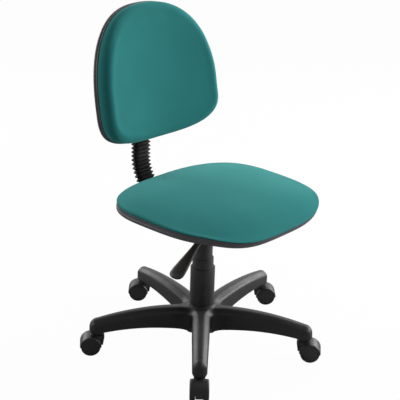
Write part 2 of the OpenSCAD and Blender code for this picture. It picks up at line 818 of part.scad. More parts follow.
module back_bar() {
    color(black) difference() {
        union() {
            translate([-bar_w / 2, bar_y0, bar_z - bar_t / 2]) cube([bar_w, bar_centre_y - bar_y0, bar_t]);
            translate([-bar_w / 2, bar_centre_y, bar_centre_z]) rotate([90, 0, 90]) rotate([0, 0, -90])
                linear_extrude(bar_w) intersection() {
                    difference() {
                        circle(bar_bend_r + bar_t / 2, $fn = 128);
                        circle(bar_bend_r - bar_t / 2, $fn = 128);
                    }
                    square(bar_bend_r + bar_t);
                }
            translate([-bar_w / 2, bar_y - bar_t / 2, bar_centre_z])
                cube([bar_w, bar_t, bar_top - bar_centre_z]);
        }
        for (y = bar_bolt_places) translate([0, y, bar_z - bar_t])
            cylinder(r = bar_bolt_d / 2 + seat_gap, h = 2 * bar_t);
    }
}

module bar_bolts() {
    color(zinc) for (y = bar_bolt_places) translate([0, y, box_z0]) union() {
        cylinder(r = bar_bolt_d / 2, h = sheet_t + bar_t);
        translate([0, 0, -5]) cylinder(r = bar_bolt_d * 0.85, h = 5, $fn = 6);
    }
}

// Ring round the bar at a distance s along its middle line from the bellows' lower end
function bellows_ring(s, a, b) = let (
        turn = max(0, bellows_low_turn - s / bar_bend_r * 180 / PI),
        y = bar_centre_y + bar_bend_r * cos(turn),
        z = bar_centre_z - bar_bend_r * sin(turn) + max(0, s - bellows_arc_l))
    [for (p = outline(a, b, b, 4, 4, bellows_points)) [p[0], y + p[1] * cos(turn), z - p[1] * sin(turn)]];

module bar_bellows() {
    a = bellows_w / 2;
    b = bellows_t / 2;
    pitch = bellows_l / folds;
    outside = [for (i = [0:2 * folds]) let (root = i % 2 == 0 ? fold_h : 0)
        bellows_ring(i * pitch / 2, a - root, b - root)];
    bore_a = a - fold_h - bellows_wall;
    bore_b = b - fold_h - bellows_wall;
    inside = [for (i = [folds:-1:0]) bellows_ring(i * pitch, bore_a, bore_b)];
    color("#161617") loft_tube(concat(outside, inside));
}

// ---- Backrest ----

module back_place() {
    translate([0, back_y, back_h]) rotate([-back_tilt, 0, 0]) children();
}

// Curved sheet between the depths d0 and d1, counted to the rear from the board's middle
module back_sheet(d0, d1) {
    translate([0, -back_curve_r, -back_up]) difference() {
        cylinder(r = back_curve_r + d1, h = 2.5 * back_up, $fn = 128);
        translate([0, 0, -over]) cylinder(r = back_curve_r + d0, h = 2.5 * back_up + 2 * over, $fn = 128);
    }
}

module back_column(inset) {
    rotate([90, 0, 0]) translate([0, 0, -back_up]) linear_extrude(2 * back_up) polygon(back_outline(inset));
}

module back_board() {
    color(plywood) back_place() difference() {
        intersection() {
            back_sheet(-back_half_t, back_half_t);
            back_column(trim_wall);
        }
        at_back_bolts() cylinder(r = nut_barrel_r + seat_gap, h = 4 * back_board_t, center = true);
        at_back_bolts() translate([0, 0, -back_foam - back_half_t + nut_sink])
            cylinder(r = nut_flange_r + seat_gap, h = back_foam);
    }
}

// Axis of each backrest bolt, pointing to the rear
module at_back_bolts() {
    for (p = back_bolt_places) translate([p[0], 0, p[1]]) rotate([-90, 0, 0]) children();
}

module back_trim() {
    color(black) back_place() difference() {
        intersection() {
            back_sheet(-back_half_t - lip_t, back_half_t + lip_t);
            back_column(0);
        }
        intersection() {
            back_sheet(-back_half_t, back_half_t);
            back_column(trim_wall);
        }
        back_column(trim_lip);
    }
}

module rear_cover() {
    color(plastic) back_place() difference() {
        intersection() {
            back_sheet(back_half_t, cover_back);
            back_column(trim_lip + air);
        }
        at_back_bolts() cylinder(r = bolt_d / 2 + air, h = 4 * cover_back, center = true);
    }
}

function back_ring(inset, k, depth) = [for (p = back_outline(inset, k))
    [p[0], -depth - back_reach(p[0]), p[1]]];

module back_cushion() {
    wall = back_wall_h;
    rear_rings = [for (k = [0.25, 0.5, 0.75, 1]) back_ring(7, k, foam_front)];
    side_rings = [back_ring(2, 1, foam_front + 5), back_ring(0, 1, foam_front + wall * 0.45),
        back_ring(3, 1, foam_front + wall * 0.8), back_ring(11, 1, foam_front + wall)];
    front_rings = [for (k = [0.96, 0.9, 0.82, 0.7, 0.5, 0.25])
        back_ring(13, k, foam_front + wall + (back_foam - wall) * (1 - pow(k, 4)))];
    color(teal) back_place() loft(concat(rear_rings, side_rings, front_rings), [0, -foam_front, 0],
        [0, -foam_front - back_foam, 0]);
}

// Wedge-shaped bracket: a flange on the backrest and a sleeve round the upright bar
module back_bracket() {
    sleeve_z1 = sleeve_z + sleeve_h;
    color(black) difference() {
        union() {
            back_place() intersection() {
                translate([-bracket_flange_w / 2, cover_back, bracket_flange_low])
                    cube([bracket_flange_w, bracket_flange_t, bracket_flange_high - bracket_flange_low]);
                back_flange_outline();
            }
            difference() {
                intersection() {
                    translate([0, bracket_y1 - sleeve_w / 2, sleeve_z])
                        rounded_plate(sleeve_w, sleeve_w, 12, sleeve_h);
                    back_place() translate([-sleeve_w, cover_back, -2 * sleeve_h])
                        cube([2 * sleeve_w, 2 * sleeve_w, 4 * sleeve_h]);
                }
                // Side pockets between the flange and the sleeve
                for (s = [-1, 1]) back_place()
                    translate([s * (sleeve_w / 2), cover_back + bracket_flange_t, 0])
                    bracket_pocket();
            }
        }
        translate([-bar_w / 2 - slide_gap, bar_y - bar_t / 2 - slide_gap, sleeve_z - 40])
            cube([bar_w + 2 * slide_gap, bar_t + 2 * slide_gap, sleeve_h + 80]);
        translate([0, bar_y, knob_z]) rotate([-90, 0, 0]) cylinder(r = screw_r + run_gap, h = 40);
        back_place() at_back_bolts() cylinder(r = bolt_d / 2 + air, h = 80, center = true);
        back_place() for (p = back_bolt_places) translate([p[0], cover_back + bracket_flange_t, p[1]])
            rotate([-90, 0, 0]) cylinder(r = head_d / 2 + 1.5, h = 60);
    }
}

module back_flange_outline() {
    rotate([90, 0, 0]) translate([0, (bracket_flange_low + bracket_flange_high) / 2, -60])
        rounded_plate(bracket_flange_w, bracket_flange_high - bracket_flange_low, 14, 120);
}

module bracket_pocket() {
    for (z = [-46, -14]) translate([-8, 1, z]) cube([16, 20, 26]);
}

module back_bolts() {
    color(zinc) back_place() for (p = back_bolt_places) translate([p[0], cover_back + bracket_flange_t, p[1]])
        rotate([90, 0, 0]) union() {
            cylinder(r = bolt_d / 2, h = bracket_flange_t + rear_cover_t + back_board_t - 1);
            translate([0, 0, -head_h]) cylinder(r = head_d / 2, h = head_h, $fn = 6);
        }
}

module back_nuts() {
    color(zinc) back_place() for (p = back_bolt_places) translate([p[0], 0, p[1]])
        rotate([90, 0, 0]) t_nut(-back_half_t + 2, back_half_t - nut_sink + 0.02);
}

module height_knob() {
    color(black) translate([0, knob_y, knob_z]) rotate([-90, 0, 0]) difference() {
        union() {
            cylinder(r = 9, h = 6);
            translate([0, 0, 5]) linear_extrude(knob_h - 5) difference() {
                circle(knob_d / 2);
                for (i = [0:5]) rotate(i * 60) translate([knob_d / 2 + 5, 0]) circle(9);
            }
        }
        translate([0, 0, -over]) cylinder(r = screw_r + seat_gap, h = knob_h - 4 + over);
    }
}

module knob_screw() {
    tip_y = bar_y + bar_t / 2 + air;
    color(zinc) translate([0, tip_y, knob_z]) rotate([-90, 0, 0])
        cylinder(r = screw_r, h = knob_y - tip_y + knob_h - 4.2);
}

// ---- Castors ----

module at_castor(i) {
    turn = first_arm_turn + (i - 1) * 360 / arm_count;
    translate([stem_circle_r * cos(turn), stem_circle_r * sin(turn), 0]) rotate(castor_headings[i - 1])
        children();
}

// Axle line, with +Z to the wheel on the left of the heading
module at_axle() {
    translate([trail, 0, axle_z]) rotate([-90, 0, 0]) children();
}

web_w = wheel_gap - 0.8;
axle_l = wheel_gap + 2 * wheel_w - 6;
bore_end = wheel_w - 2.6;
// The web is open from this far below the axle down
web_drop = 9;
neck_top = 20;
neck_low = 14;

// Quarter of an ellipse from a tread of radius r in to the face at u
function shoulder(r, u) = [for (t = [0, 25, 50, 72, 90])
    [r - shoulder_fall * (1 - cos(t)), u - shoulder_w * (1 - sin(t))]];

// Drum of radius r along the axle from u0 to u1, with a rounded shoulder at u1
module drum(r, u0, u1) {
    rotate_extrude() polygon(concat([[0, u0], [r, u0]], shoulder(r, u1), [[0, u1]]));
}

module castor_housing(i) {
    color(black) at_castor(i) difference() {
        union() {
            // Middle web round the axle, and the neck round the stem
            at_axle() translate([0, 0, -web_w / 2]) cylinder(r = hood_r, h = web_w);
            rotate([90, 0, 0]) translate([0, 0, -web_w / 2]) linear_extrude(web_w)
                polygon([[trail, axle_z], [-neck_low, axle_z], [-neck_top + 2, axle_z + hood_r - 5],
                    [-neck_top + 5, axle_z + hood_r], [trail, axle_z + hood_r]]);
            // Hood over both wheels
            intersection() {
                at_axle() for (s = [0, 1]) mirror([0, 0, s]) drum(hood_r, -over, hood_w / 2);
                translate([-hood_r, -hood_w, axle_z]) cube([3 * hood_r, 2 * hood_w, 2 * hood_r]);
            }
            translate([0, 0, axle_z + 4]) cylinder(r = 14, h = hood_r - 4);
        }
        for (s = [0, 1]) at_axle() mirror([0, 0, s])
            drum(wheel_d / 2 + hood_gap, web_w / 2, wheel_gap / 2 + wheel_w + hood_gap);
        at_axle() translate([0, 0, -web_w]) cylinder(r = axle_d / 2 + seat_gap, h = 2 * web_w);
        translate([0, 0, boss_z - collar_h - 14]) cylinder(r = stem_d / 2 + seat_gap, h = 20);
        translate([-hood_r, -hood_w, -hood_r]) cube([4 * hood_r, 2 * hood_w, hood_r + axle_z - web_drop]);
    }
}

module castor_stem(i) {
    color(zinc) at_castor(i) union() {
        translate([0, 0, boss_z - collar_h - 14]) cylinder(r = stem_d / 2, h = 14 + collar_h + stem_l - 1);
        translate([0, 0, boss_z - collar_h]) cylinder(r = stem_d / 2 + 3.5, h = collar_h - run_gap);
        translate([0, 0, boss_z + stem_l - 1]) cylinder(r1 = stem_d / 2, r2 = stem_d / 2 - 1, h = 1);
    }
}

module castor_axle(i) {
    color(zinc) at_castor(i) at_axle() translate([0, 0, -axle_l / 2]) cylinder(r = axle_d / 2, h = axle_l);
}

module castor_wheel(i, side) {
    r = wheel_d / 2;
    bore = axle_d / 2 + run_gap;
    face_r = r - shoulder_fall;
    inner = [[bore, 0], [9, 0], [10, 1.5], [r - 4, 1.5], [r - 3, 0], [r - 1, 0.4], [r, 2]];
    outer = [[face_r - 1.2, wheel_w], [face_r - 1.8, wheel_w - 0.7], [face_r - 2.6, wheel_w - 0.3],
        [0, wheel_w + 0.3], [0, bore_end], [bore, bore_end]];
    profile = concat(inner, shoulder(r, wheel_w), outer);
    color(black) at_castor(i) at_axle() mirror([0, 0, side > 0 ? 0 : 1])
        translate([0, 0, wheel_gap / 2]) rotate_extrude() polygon(profile);
}

five_star_base();
column_tube();
column_bush();
bearing_race();
cover_lower();
piston_rod();
bearing_washer();
bearing_balls();
rod_clip();
gas_cylinder();
cover_upper();
seat_box();
taper_socket();
plate_bolts();
board_nuts();
seat_board();
seat_cushion();
seat_trim();
lever_pin();
back_bar();
bar_bolts();
bar_bellows();
valve_button();
lever_rod();
lever_grip();
cover_middle();
back_board();
back_cushion();
back_trim();
rear_cover();
back_bracket();
back_bolts();
back_nuts();
height_knob();
knob_screw();
castor_housing(1);  // castor_1_housing
castor_stem(1);  // castor_1_stem
castor_axle(1);  // castor_1_axle
castor_wheel(1, 1);  // castor_1_wheel_left
castor_wheel(1, -1);  // castor_1_wheel_right
castor_housing(2);  // castor_2_housing
castor_stem(2);  // castor_2_stem
castor_axle(2);  // castor_2_axle
castor_wheel(2, 1);  // castor_2_wheel_left
castor_wheel(2, -1);  // castor_2_wheel_right
castor_housing(3);  // castor_3_housing
castor_stem(3);  // castor_3_stem
castor_axle(3);  // castor_3_axle
castor_wheel(3, 1);  // castor_3_wheel_left
castor_wheel(3, -1);  // castor_3_wheel_right
castor_housing(4);  // castor_4_housing
castor_stem(4);  // castor_4_stem
castor_axle(4);  // castor_4_axle
castor_wheel(4, 1);  // castor_4_wheel_left
castor_wheel(4, -1);  // castor_4_wheel_right
castor_housing(5);  // castor_5_housing
castor_stem(5);  // castor_5_stem
castor_axle(5);  // castor_5_axle
castor_wheel(5, 1);  // castor_5_wheel_left
castor_wheel(5, -1);  // castor_5_wheel_right
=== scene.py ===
"""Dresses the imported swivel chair: smooth base, stuffed cushions, trims, bellows, castors and materials."""
import json
import math
import bpy
import bmesh
import numpy as np
from mathutils import Matrix, Vector
from mathutils.kdtree import KDTree

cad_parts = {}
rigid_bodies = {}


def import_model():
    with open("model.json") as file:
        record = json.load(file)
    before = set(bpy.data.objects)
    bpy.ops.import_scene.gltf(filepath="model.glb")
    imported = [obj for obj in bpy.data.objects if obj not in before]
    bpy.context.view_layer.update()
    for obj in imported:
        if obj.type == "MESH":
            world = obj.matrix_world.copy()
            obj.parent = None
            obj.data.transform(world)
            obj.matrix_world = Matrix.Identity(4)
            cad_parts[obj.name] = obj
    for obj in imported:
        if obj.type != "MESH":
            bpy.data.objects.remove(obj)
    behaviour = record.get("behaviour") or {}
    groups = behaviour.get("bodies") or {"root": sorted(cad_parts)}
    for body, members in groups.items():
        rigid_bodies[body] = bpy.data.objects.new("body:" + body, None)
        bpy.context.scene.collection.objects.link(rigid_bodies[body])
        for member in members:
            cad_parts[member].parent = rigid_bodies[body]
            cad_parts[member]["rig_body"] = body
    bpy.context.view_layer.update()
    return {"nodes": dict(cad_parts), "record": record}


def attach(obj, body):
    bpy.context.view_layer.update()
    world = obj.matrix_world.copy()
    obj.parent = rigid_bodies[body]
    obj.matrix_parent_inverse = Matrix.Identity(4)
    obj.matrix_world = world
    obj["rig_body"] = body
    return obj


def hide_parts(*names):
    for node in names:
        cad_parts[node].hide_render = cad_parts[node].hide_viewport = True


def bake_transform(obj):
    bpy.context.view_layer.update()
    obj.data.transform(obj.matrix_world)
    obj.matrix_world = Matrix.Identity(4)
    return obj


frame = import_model()
nodes = frame["nodes"]
scene = bpy.context.scene
MM = 0.001

# ---------------------------------------------------------------- materials


def math_node(tree, op, *values):
    """A math node of a node tree; each value is a number or a socket."""
    n = tree.nodes.new("ShaderNodeMath")
    n.operation = op
    for i, v in enumerate(values):
        if isinstance(v, (int, float)):
            n.inputs[i].default_value = v
        else:
            tree.links.new(v, n.inputs[i])
    return n.outputs[0]


class Graph:
    """Short calls for building a material's node tree."""

    def __init__(self, name):
        self.mat = bpy.data.materials.new(name)
        self.mat.use_nodes = True
        self.tree = self.mat.node_tree
        self.bsdf = self.tree.nodes["Principled BSDF"]
        self.coords = self.add("ShaderNodeTexCoord").outputs["Object"]

    def add(self, kind, links=(), **values):
        n = self.tree.nodes.new(kind)
        for key, v in values.items():
            n.inputs[key.replace("_", " ")].default_value = v
        for key, out in dict(links).items():
            self.tree.links.new(out, n.inputs[key])
        return n

    def stretched(self, scale):
        return self.add("ShaderNodeMapping", {"Vector": self.coords}, Scale=scale).outputs["Vector"]

    def noise(self, scale, detail, rough=0.55, coords=None):
        return self.add("ShaderNodeTexNoise", {"Vector": coords or self.coords}, Scale=scale, Detail=detail,
                        Roughness=rough).outputs["Fac"]

    def math(self, op, *values):
        return math_node(self.tree, op, *values)

    def ramp(self, fac, stops):
        n = self.add("ShaderNodeValToRGB", {"Fac": fac})
        els = n.color_ramp.elements
        while len(els) < len(stops):
            els.new(0.5)
        for e, (at, colour) in zip(els, stops):
            e.position = at
            e.color = (*colour, 1)
        return n.outputs["Color"]

    def spread(self, fac, low, high, to_low, to_high):
        return self.add("ShaderNodeMapRange", {"Value": fac}, From_Min=low, From_Max=high, To_Min=to_low,
                        To_Max=to_high).outputs["Result"]

    def mix(self, fac, a, b):
        """Mixes two colours; the node's inputs 6 and 7 and its output 2 are its colour sockets."""
        n = self.tree.nodes.new("ShaderNodeMix")
        n.data_type = "RGBA"
        self.tree.links.new(fac, n.inputs[0])
        for i, v in ((6, a), (7, b)):
            if isinstance(v, tuple):
                n.inputs[i].default_value = (*v, 1)
            else:
                self.tree.links.new(v, n.inputs[i])
        return n.outputs[2]

    def bump(self, height, strength, distance):
        n = self.add("ShaderNodeBump", {"Height": height}, Strength=strength, Distance=distance)
        self.tree.links.new(n.outputs["Normal"], self.bsdf.inputs["Normal"])

    def put(self, **values):
        """Sets sockets of the surface to numbers, colours or other nodes' outputs; gives the material."""
        for key, v in values.items():
            socket = self.bsdf.inputs[key.replace("_", " ")]
            if isinstance(v, (int, float)):
                socket.default_value = v
            elif isinstance(v, tuple):
                socket.default_value = (*v, 1)
            else:
                self.tree.links.new(v, socket)
        return self.mat


def scaled(colour, k):
    return tuple(min(1.0, c * k) for c in colour)


def moulded(name, colour, rough, grain=900, grain_depth=0.00006, spec=0.5, vary=0.25):
    """Moulded or painted surface: fine grain, slow tone changes, uneven gloss."""
    g = Graph(name)
    slow, fine, gloss = g.noise(9, 4), g.noise(grain, 2, 0.6), g.noise(40, 3)
    tone = g.ramp(slow, [(0.3, scaled(colour, 1 - vary)), (0.7, scaled(colour, 1 + vary))])
    g.bump(fine, 0.35, grain_depth)
    return g.put(Base_Color=tone, Roughness=g.spread(gloss, 0.3, 0.7, rough - 0.04, rough + 0.05),
                 Specular_IOR_Level=spec)


def metal(name, colour, rough, stretch=(1, 1, 30)):
    """Bare metal with fine lines, drawn out by the stretch."""
    g = Graph(name)
    lines = g.noise(160, 2, 0.5, g.stretched(stretch))
    tone = g.ramp(g.noise(14, 4), [(0.3, scaled(colour, 0.82)), (0.7, scaled(colour, 1.1))])
    g.bump(lines, 0.15, 0.00004)
    gloss = g.spread(lines, 0.3, 0.7, rough - 0.06, rough + 0.08)
    return g.put(Base_Color=tone, Metallic=1.0, Roughness=gloss)


def plywood(name):
    """Pale veneer with its grain along x and dark pores."""
    g = Graph(name)
    along = g.stretched((2.0, 30.0, 30.0))
    grain, pores = g.noise(6, 6, 0.65, along), g.noise(60, 3, 0.6, along)
    wood = g.ramp(grain, [(0.3, (0.27, 0.17, 0.085)), (0.55, (0.38, 0.26, 0.145)), (0.75, (0.46, 0.33, 0.2))])
    tone = g.mix(g.spread(pores, 0.35, 0.5, 0.35, 0.0), wood, (0.2, 0.1, 0.04))
    g.bump(pores, 0.25, 0.0001)
    return g.put(Base_Color=tone, Roughness=0.62)


TEAL = (0.024, 0.192, 0.192)
TEAL_SHEEN = (0.1, 0.3, 0.27)
THREAD = 0.0016


def fabric(name, colour, sheen, across, up):
    """Close weave with a soft sheen; the threads run along the two given axes of the piece."""
    g = Graph(name)
    xyz = g.add("ShaderNodeSeparateXYZ", {"Vector": g.coords})
    warp, weft = (g.math("SINE", g.math("MULTIPLY", xyz.outputs[axis], 2 * math.pi / THREAD))
                  for axis in (across, up))
    weave = g.math("MULTIPLY", warp, weft)
    slub, slow = g.noise(520, 3, 0.6), g.noise(7, 4, 0.5)
    tone = g.ramp(slow, [(0.3, scaled(colour, 0.93)), (0.7, scaled(colour, 1.07))])
    flecks = g.mix(g.spread(slub, 0.35, 0.75, 0.0, 0.5), tone, scaled(colour, 1.45))
    tone = g.mix(g.spread(weave, -1, 0.2, 0.3, 0.0), flecks, scaled(colour, 0.55))
    g.bump(g.math("MULTIPLY_ADD", weave, 0.5, slub), 0.5, 0.0003)
    return g.put(Base_Color=tone, Roughness=g.spread(slub, 0.3, 0.7, 0.78, 0.95), Specular_IOR_Level=0.05,
                 Sheen_Weight=0.75, Sheen_Roughness=0.5, Sheen_Tint=sheen)


mats = {
    "base_nylon": moulded("base_nylon", (0.02, 0.02, 0.021), 0.45, 1100, 0.00005),
    "castor_nylon": moulded("castor_nylon", (0.028, 0.028, 0.03), 0.42),
    "wheel_nylon": moulded("wheel_nylon", (0.03, 0.03, 0.032), 0.38, 700, 0.00004),
    "cover_plastic": moulded("cover_plastic", (0.032, 0.032, 0.033), 0.45),
    "grip_plastic": moulded("grip_plastic", (0.04, 0.04, 0.041), 0.4),
    "white_acetal": moulded("white_acetal", (0.7, 0.7, 0.67), 0.4, vary=0.05),
    "red_plastic": moulded("red_plastic", (0.5, 0.03, 0.02), 0.35, vary=0.1),
    "black_steel": moulded("black_steel", (0.02, 0.02, 0.022), 0.38, 420, 0.00008),
    "bright_steel": metal("bright_steel", (0.6, 0.61, 0.62), 0.25),
    "zinc": metal("zinc", (0.52, 0.53, 0.54), 0.36, (1, 1, 4)),
    "plywood": plywood("plywood"),
    "seat_fabric": fabric("seat_fabric", TEAL, TEAL_SHEEN, 0, 1),
    "back_fabric": fabric("back_fabric", TEAL, TEAL_SHEEN, 0, 2),
    "edge_trim": moulded("edge_trim", (0.075, 0.074, 0.085), 0.42, 800, 0.00003),
    "bellows_rubber": moulded("bellows_rubber", (0.008, 0.008, 0.009), 0.55, 600, 0.00005, spec=0.25),
}

# ---------------------------------------------------------------- mesh helpers

X, Y, Z = np.eye(3)


def finish(obj, body, node, slot, mat=None):
    """Gives a piece its body and its material (the slot's unless one is named), and hides the node it stands
    for.
    """
    obj.data.materials.clear()
    obj.data.materials.append(mats[mat or slot])
    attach(obj, body)
    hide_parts(node)


def edit_mesh(me, *steps):
    """Opens the mesh for editing, runs each step on it and writes it back."""
    bm = bmesh.new()
    bm.from_mesh(me)
    for step in steps:
        step(bm)
    bm.to_mesh(me)
    bm.free()


def merge_doubles(bm):
    bmesh.ops.remove_doubles(bm, verts=bm.verts, dist=0.00002)


def join_flat_faces(bm):
    bmesh.ops.dissolve_limit(bm, angle_limit=math.radians(0.6), verts=bm.verts, edges=bm.edges)


def turn_outwards(bm):
    bmesh.ops.recalc_face_normals(bm, faces=bm.faces)


def new_object(name, verts, faces):
    """Mesh object from vertices in mm, its normals outwards."""
    me = bpy.data.meshes.new(name)
    me.from_pydata([tuple(float(c) * MM for c in v) for v in verts], [], faces)
    me.validate()
    obj = bpy.data.objects.new(name, me)
    scene.collection.objects.link(obj)
    edit_mesh(me, turn_outwards)
    return obj


def copy_of(node, name):
    obj = bpy.data.objects.new(name, nodes[node].data.copy())
    scene.collection.objects.link(obj)
    return obj


def grid_faces(m, n, wrap_rows=False):
    """Quads over m rings of n points each; the rings are closed."""
    return [(i * n + j, i * n + (j + 1) % n, ((i + 1) % m) * n + (j + 1) % n, ((i + 1) % m) * n + j)
            for i in range(m if wrap_rows else m - 1) for j in range(n)]


def fan_faces(tip, start, n):
    """Triangles from one point to a ring of n points."""
    return [(tip, start + j, start + (j + 1) % n) for j in range(n)]


def apply_modifiers(obj):
    bpy.context.view_layer.update()
    done = bpy.data.meshes.new_from_object(obj.evaluated_get(bpy.context.evaluated_depsgraph_get()))
    obj.modifiers.clear()
    obj.data = done


def remesh(obj, voxel):
    r = obj.modifiers.new("even", "REMESH")
    r.mode = "VOXEL"
    r.voxel_size = voxel
    apply_modifiers(obj)


def vectors(items, key):
    """A vector of every vertex, as rows."""
    out = np.empty(len(items) * 3, np.float32)
    items.foreach_get(key, out)
    return out.reshape(-1, 3).astype(float)


def positions(me):
    return vectors(me.vertices, "co")


def set_positions(me, co):
    me.vertices.foreach_set("co", co.astype(np.float32).ravel())
    me.update()


def crease_shading(obj, angle):
    """Smooth shading, broken where two faces meet at more than the angle in degrees."""

    def mark(bm):
        for e in bm.edges:
            e.smooth = e.calc_face_angle(0) < math.radians(angle)

    obj.data.shade_smooth()
    edit_mesh(obj.data, mark)
    return obj


def softened(node, width, mat, segments=3, angle=32):
    """A copy of a rigid CAD node with its sharp edges rounded; it replaces the node."""
    obj = copy_of(node, node + "_detail")
    edit_mesh(obj.data, merge_doubles, join_flat_faces)
    b = obj.modifiers.new("round", "BEVEL")
    b.width = width
    b.segments = segments
    b.limit_method = "ANGLE"
    b.angle_limit = math.radians(angle)
    b.use_clamp_overlap = True
    b.harden_normals = False
    apply_modifiers(obj)
    finish(crease_shading(obj, 40), nodes[node]["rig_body"], node, mat)


def turned(name, profile, origin, first, second, axis, steps):
    """Closed profile of (radius, height) turned about an axis through origin, from first towards second."""
    t = np.linspace(0, 2 * math.pi, steps, endpoint=False)
    rings = [origin + np.outer(np.cos(t) * r, first) + np.outer(np.sin(t) * r, second) + axis * h
             for r, h in profile]
    return new_object(name, np.vstack(rings), grid_faces(len(profile), steps, True))


def rounded(profile, radius, steps):
    """Rounds each corner of a closed profile, over at most 0.45 of the sides beside it."""
    out = []
    n = len(profile)
    for i in range(n):
        p, a, b = (np.array(profile[j % n], float) for j in (i, i - 1, i + 1))
        la, lb = np.linalg.norm(a - p), np.linalg.norm(b - p)
        cut = min(radius, la * 0.45, lb * 0.45)
        p0, p1 = p + (a - p) / la * cut, p + (b - p) / lb * cut
        for s in np.linspace(0, 1, steps + 1):
            out.append(tuple((1 - s) ** 2 * p0 + 2 * s * (1 - s) * p + s * s * p1))
    return out


# ---------------------------------------------------------------- outlines

BOARD_T, LIP_T, FOAM_GAP = 12, 1.5, 0.3
SEAT_W, SEAT_DEPTH, SEAT_AHEAD, SEAT_FRONT_SHARE = 470, 419, 5, 0.592
SEAT_FRONT, SEAT_BACK = SEAT_DEPTH * SEAT_FRONT_SHARE, SEAT_DEPTH * (1 - SEAT_FRONT_SHARE)
SEAT_SQUARE = (2.7, 3.39)  # towards the back and towards the front
SEAT_H = 398.5
SEAT_BEND_R, SEAT_BEND_L = 134, 77
BEND_Y = SEAT_BEND_L - SEAT_FRONT - SEAT_AHEAD
SEAT_TRIM_Z0, SEAT_TRIM_Z1 = SEAT_H - LIP_T, SEAT_H + BOARD_T + LIP_T
SEAT_FOAM_Z0 = SEAT_TRIM_Z1 + FOAM_GAP
BACK_W, BACK_UP, BACK_DOWN = 400, 244, 98
BACK_SQUARE = (2.42, 3.15)  # upwards and downwards
BACK_Y, BACK_H, BACK_TILT, BACK_CURVE_R = 197, 614.5, math.radians(10.6), 880
BACK_ROLL = math.radians(0.6)
BACK_HALF_T = 5
BACK_FOAM_FRONT = BACK_HALF_T + LIP_T + FOAM_GAP


def superellipse(a, up, down, n_up, n_down, count):
    """Closed line of half-width a; its height and squareness above and below the middle are its own."""
    t = np.linspace(0, 2 * math.pi, count, endpoint=False)
    c, s = np.cos(t), np.sin(t)
    n = np.where(s > 0, n_up, n_down)
    h = np.where(s > 0, up, down)
    return np.sign(c) * np.abs(c) ** (2 / n) * a, np.sign(s) * np.abs(s) ** (2 / n) * h


def even_superellipse(a, up, down, square, inset, count):
    """The superellipse drawn in by the inset, with its points at even distances."""
    x, y = superellipse(a - inset, up - inset, down - inset, *square, 2400)
    px, py = np.append(x, x[0]), np.append(y, y[0])
    s = np.concatenate([[0], np.cumsum(np.hypot(np.diff(px), np.diff(py)))])
    at = np.linspace(0, s[-1], count, endpoint=False)
    return np.interp(at, s, px), np.interp(at, s, py)


def seat_line(inset, count=160, k=1.0):
    """The seat's outline in plan, scaled by k towards its middle."""
    x, y = even_superellipse(SEAT_W / 2, SEAT_BACK, SEAT_FRONT, SEAT_SQUARE, inset, count)
    return x * k, y * k - SEAT_AHEAD


def back_line(inset, count=160, k=1.0):
    """The backrest's outline as seen square on, scaled by k towards its middle."""
    x, w = even_superellipse(BACK_W / 2, BACK_UP, BACK_DOWN, BACK_SQUARE, inset, count)
    return x * k, w * k


def seat_point(x, y, z):
    """Carries a point of the seat's plan round the bend at the front."""
    turn = np.arcsin(np.clip(BEND_Y - y, 0, None) / (SEAT_BEND_R + BOARD_T / 2))
    r = SEAT_BEND_R + z - SEAT_H
    return np.c_[x, np.where(turn > 0, BEND_Y - r * np.sin(turn), y), z - r * (1 - np.cos(turn))]


def seat_height(p):
    """Height of points over the board's underside, counted square to the bent board."""
    y, z = BEND_Y - p[:, 1], p[:, 2] - SEAT_H + SEAT_BEND_R
    return np.where(y > 0, np.hypot(y, z) - SEAT_BEND_R, p[:, 2] - SEAT_H)


def back_sag(x):
    """How far the curved backrest comes forward at a distance from its middle."""
    return BACK_CURVE_R - np.sqrt(BACK_CURVE_R ** 2 - x * x)


def back_point(x, depth, w):
    """depth is counted to the rear from the board's middle; the backrest sits a little askew in the photo."""
    c, s = math.cos(BACK_ROLL), math.sin(BACK_ROLL)
    x, w = x * c + w * s, w * c - x * s
    y = depth - back_sag(x)
    c, s = math.cos(BACK_TILT), math.sin(BACK_TILT)
    return np.c_[x, BACK_Y + y * c + w * s, BACK_H - y * s + w * c]


# ---------------------------------------------------------------- cushions

FOOT_SHARE = 0.42  # share of the edge's height below the rounding
SEAT_ARC = 0.55  # share of a quarter turn that the rounding of the seat's edge makes
SEAT_PAD_INSET, SEAT_PAD_FOOT, SEAT_EDGE_H, SEAT_EDGE_IN, SEAT_CROWN_H = 0.8, 3.0, 10, 30, 25
SEAT_DROP_FRONT, SEAT_DROP_CORNER, SEAT_DROP_BACK = 4, 2.5, 4
BACK_PAD_OUTSET, BACK_PAD_FOOT, BACK_EDGE_H, BACK_EDGE_IN, BACK_CROWN = 0.6, 4.0, 27.5, 23, 2
BACK_MORE_AT_SIDES, BACK_MORE_LOW_DOWN = 6.5, 3
SEAT_HOLD_FADE, BACK_HOLD_FADE = 5, 6
PAD_VOXEL, PAD_SWELL, PAD_PRESSURE, PAD_FRAMES = 0.006, 0.003, 4.0, 20


def moved_in(x, y, d):
    """A closed line moved inwards by the distance d."""
    tx, ty = np.roll(x, -1) - np.roll(x, 1), np.roll(y, -1) - np.roll(y, 1)
    length = np.hypot(tx, ty)
    return x - ty / length * d, y + tx / length * d


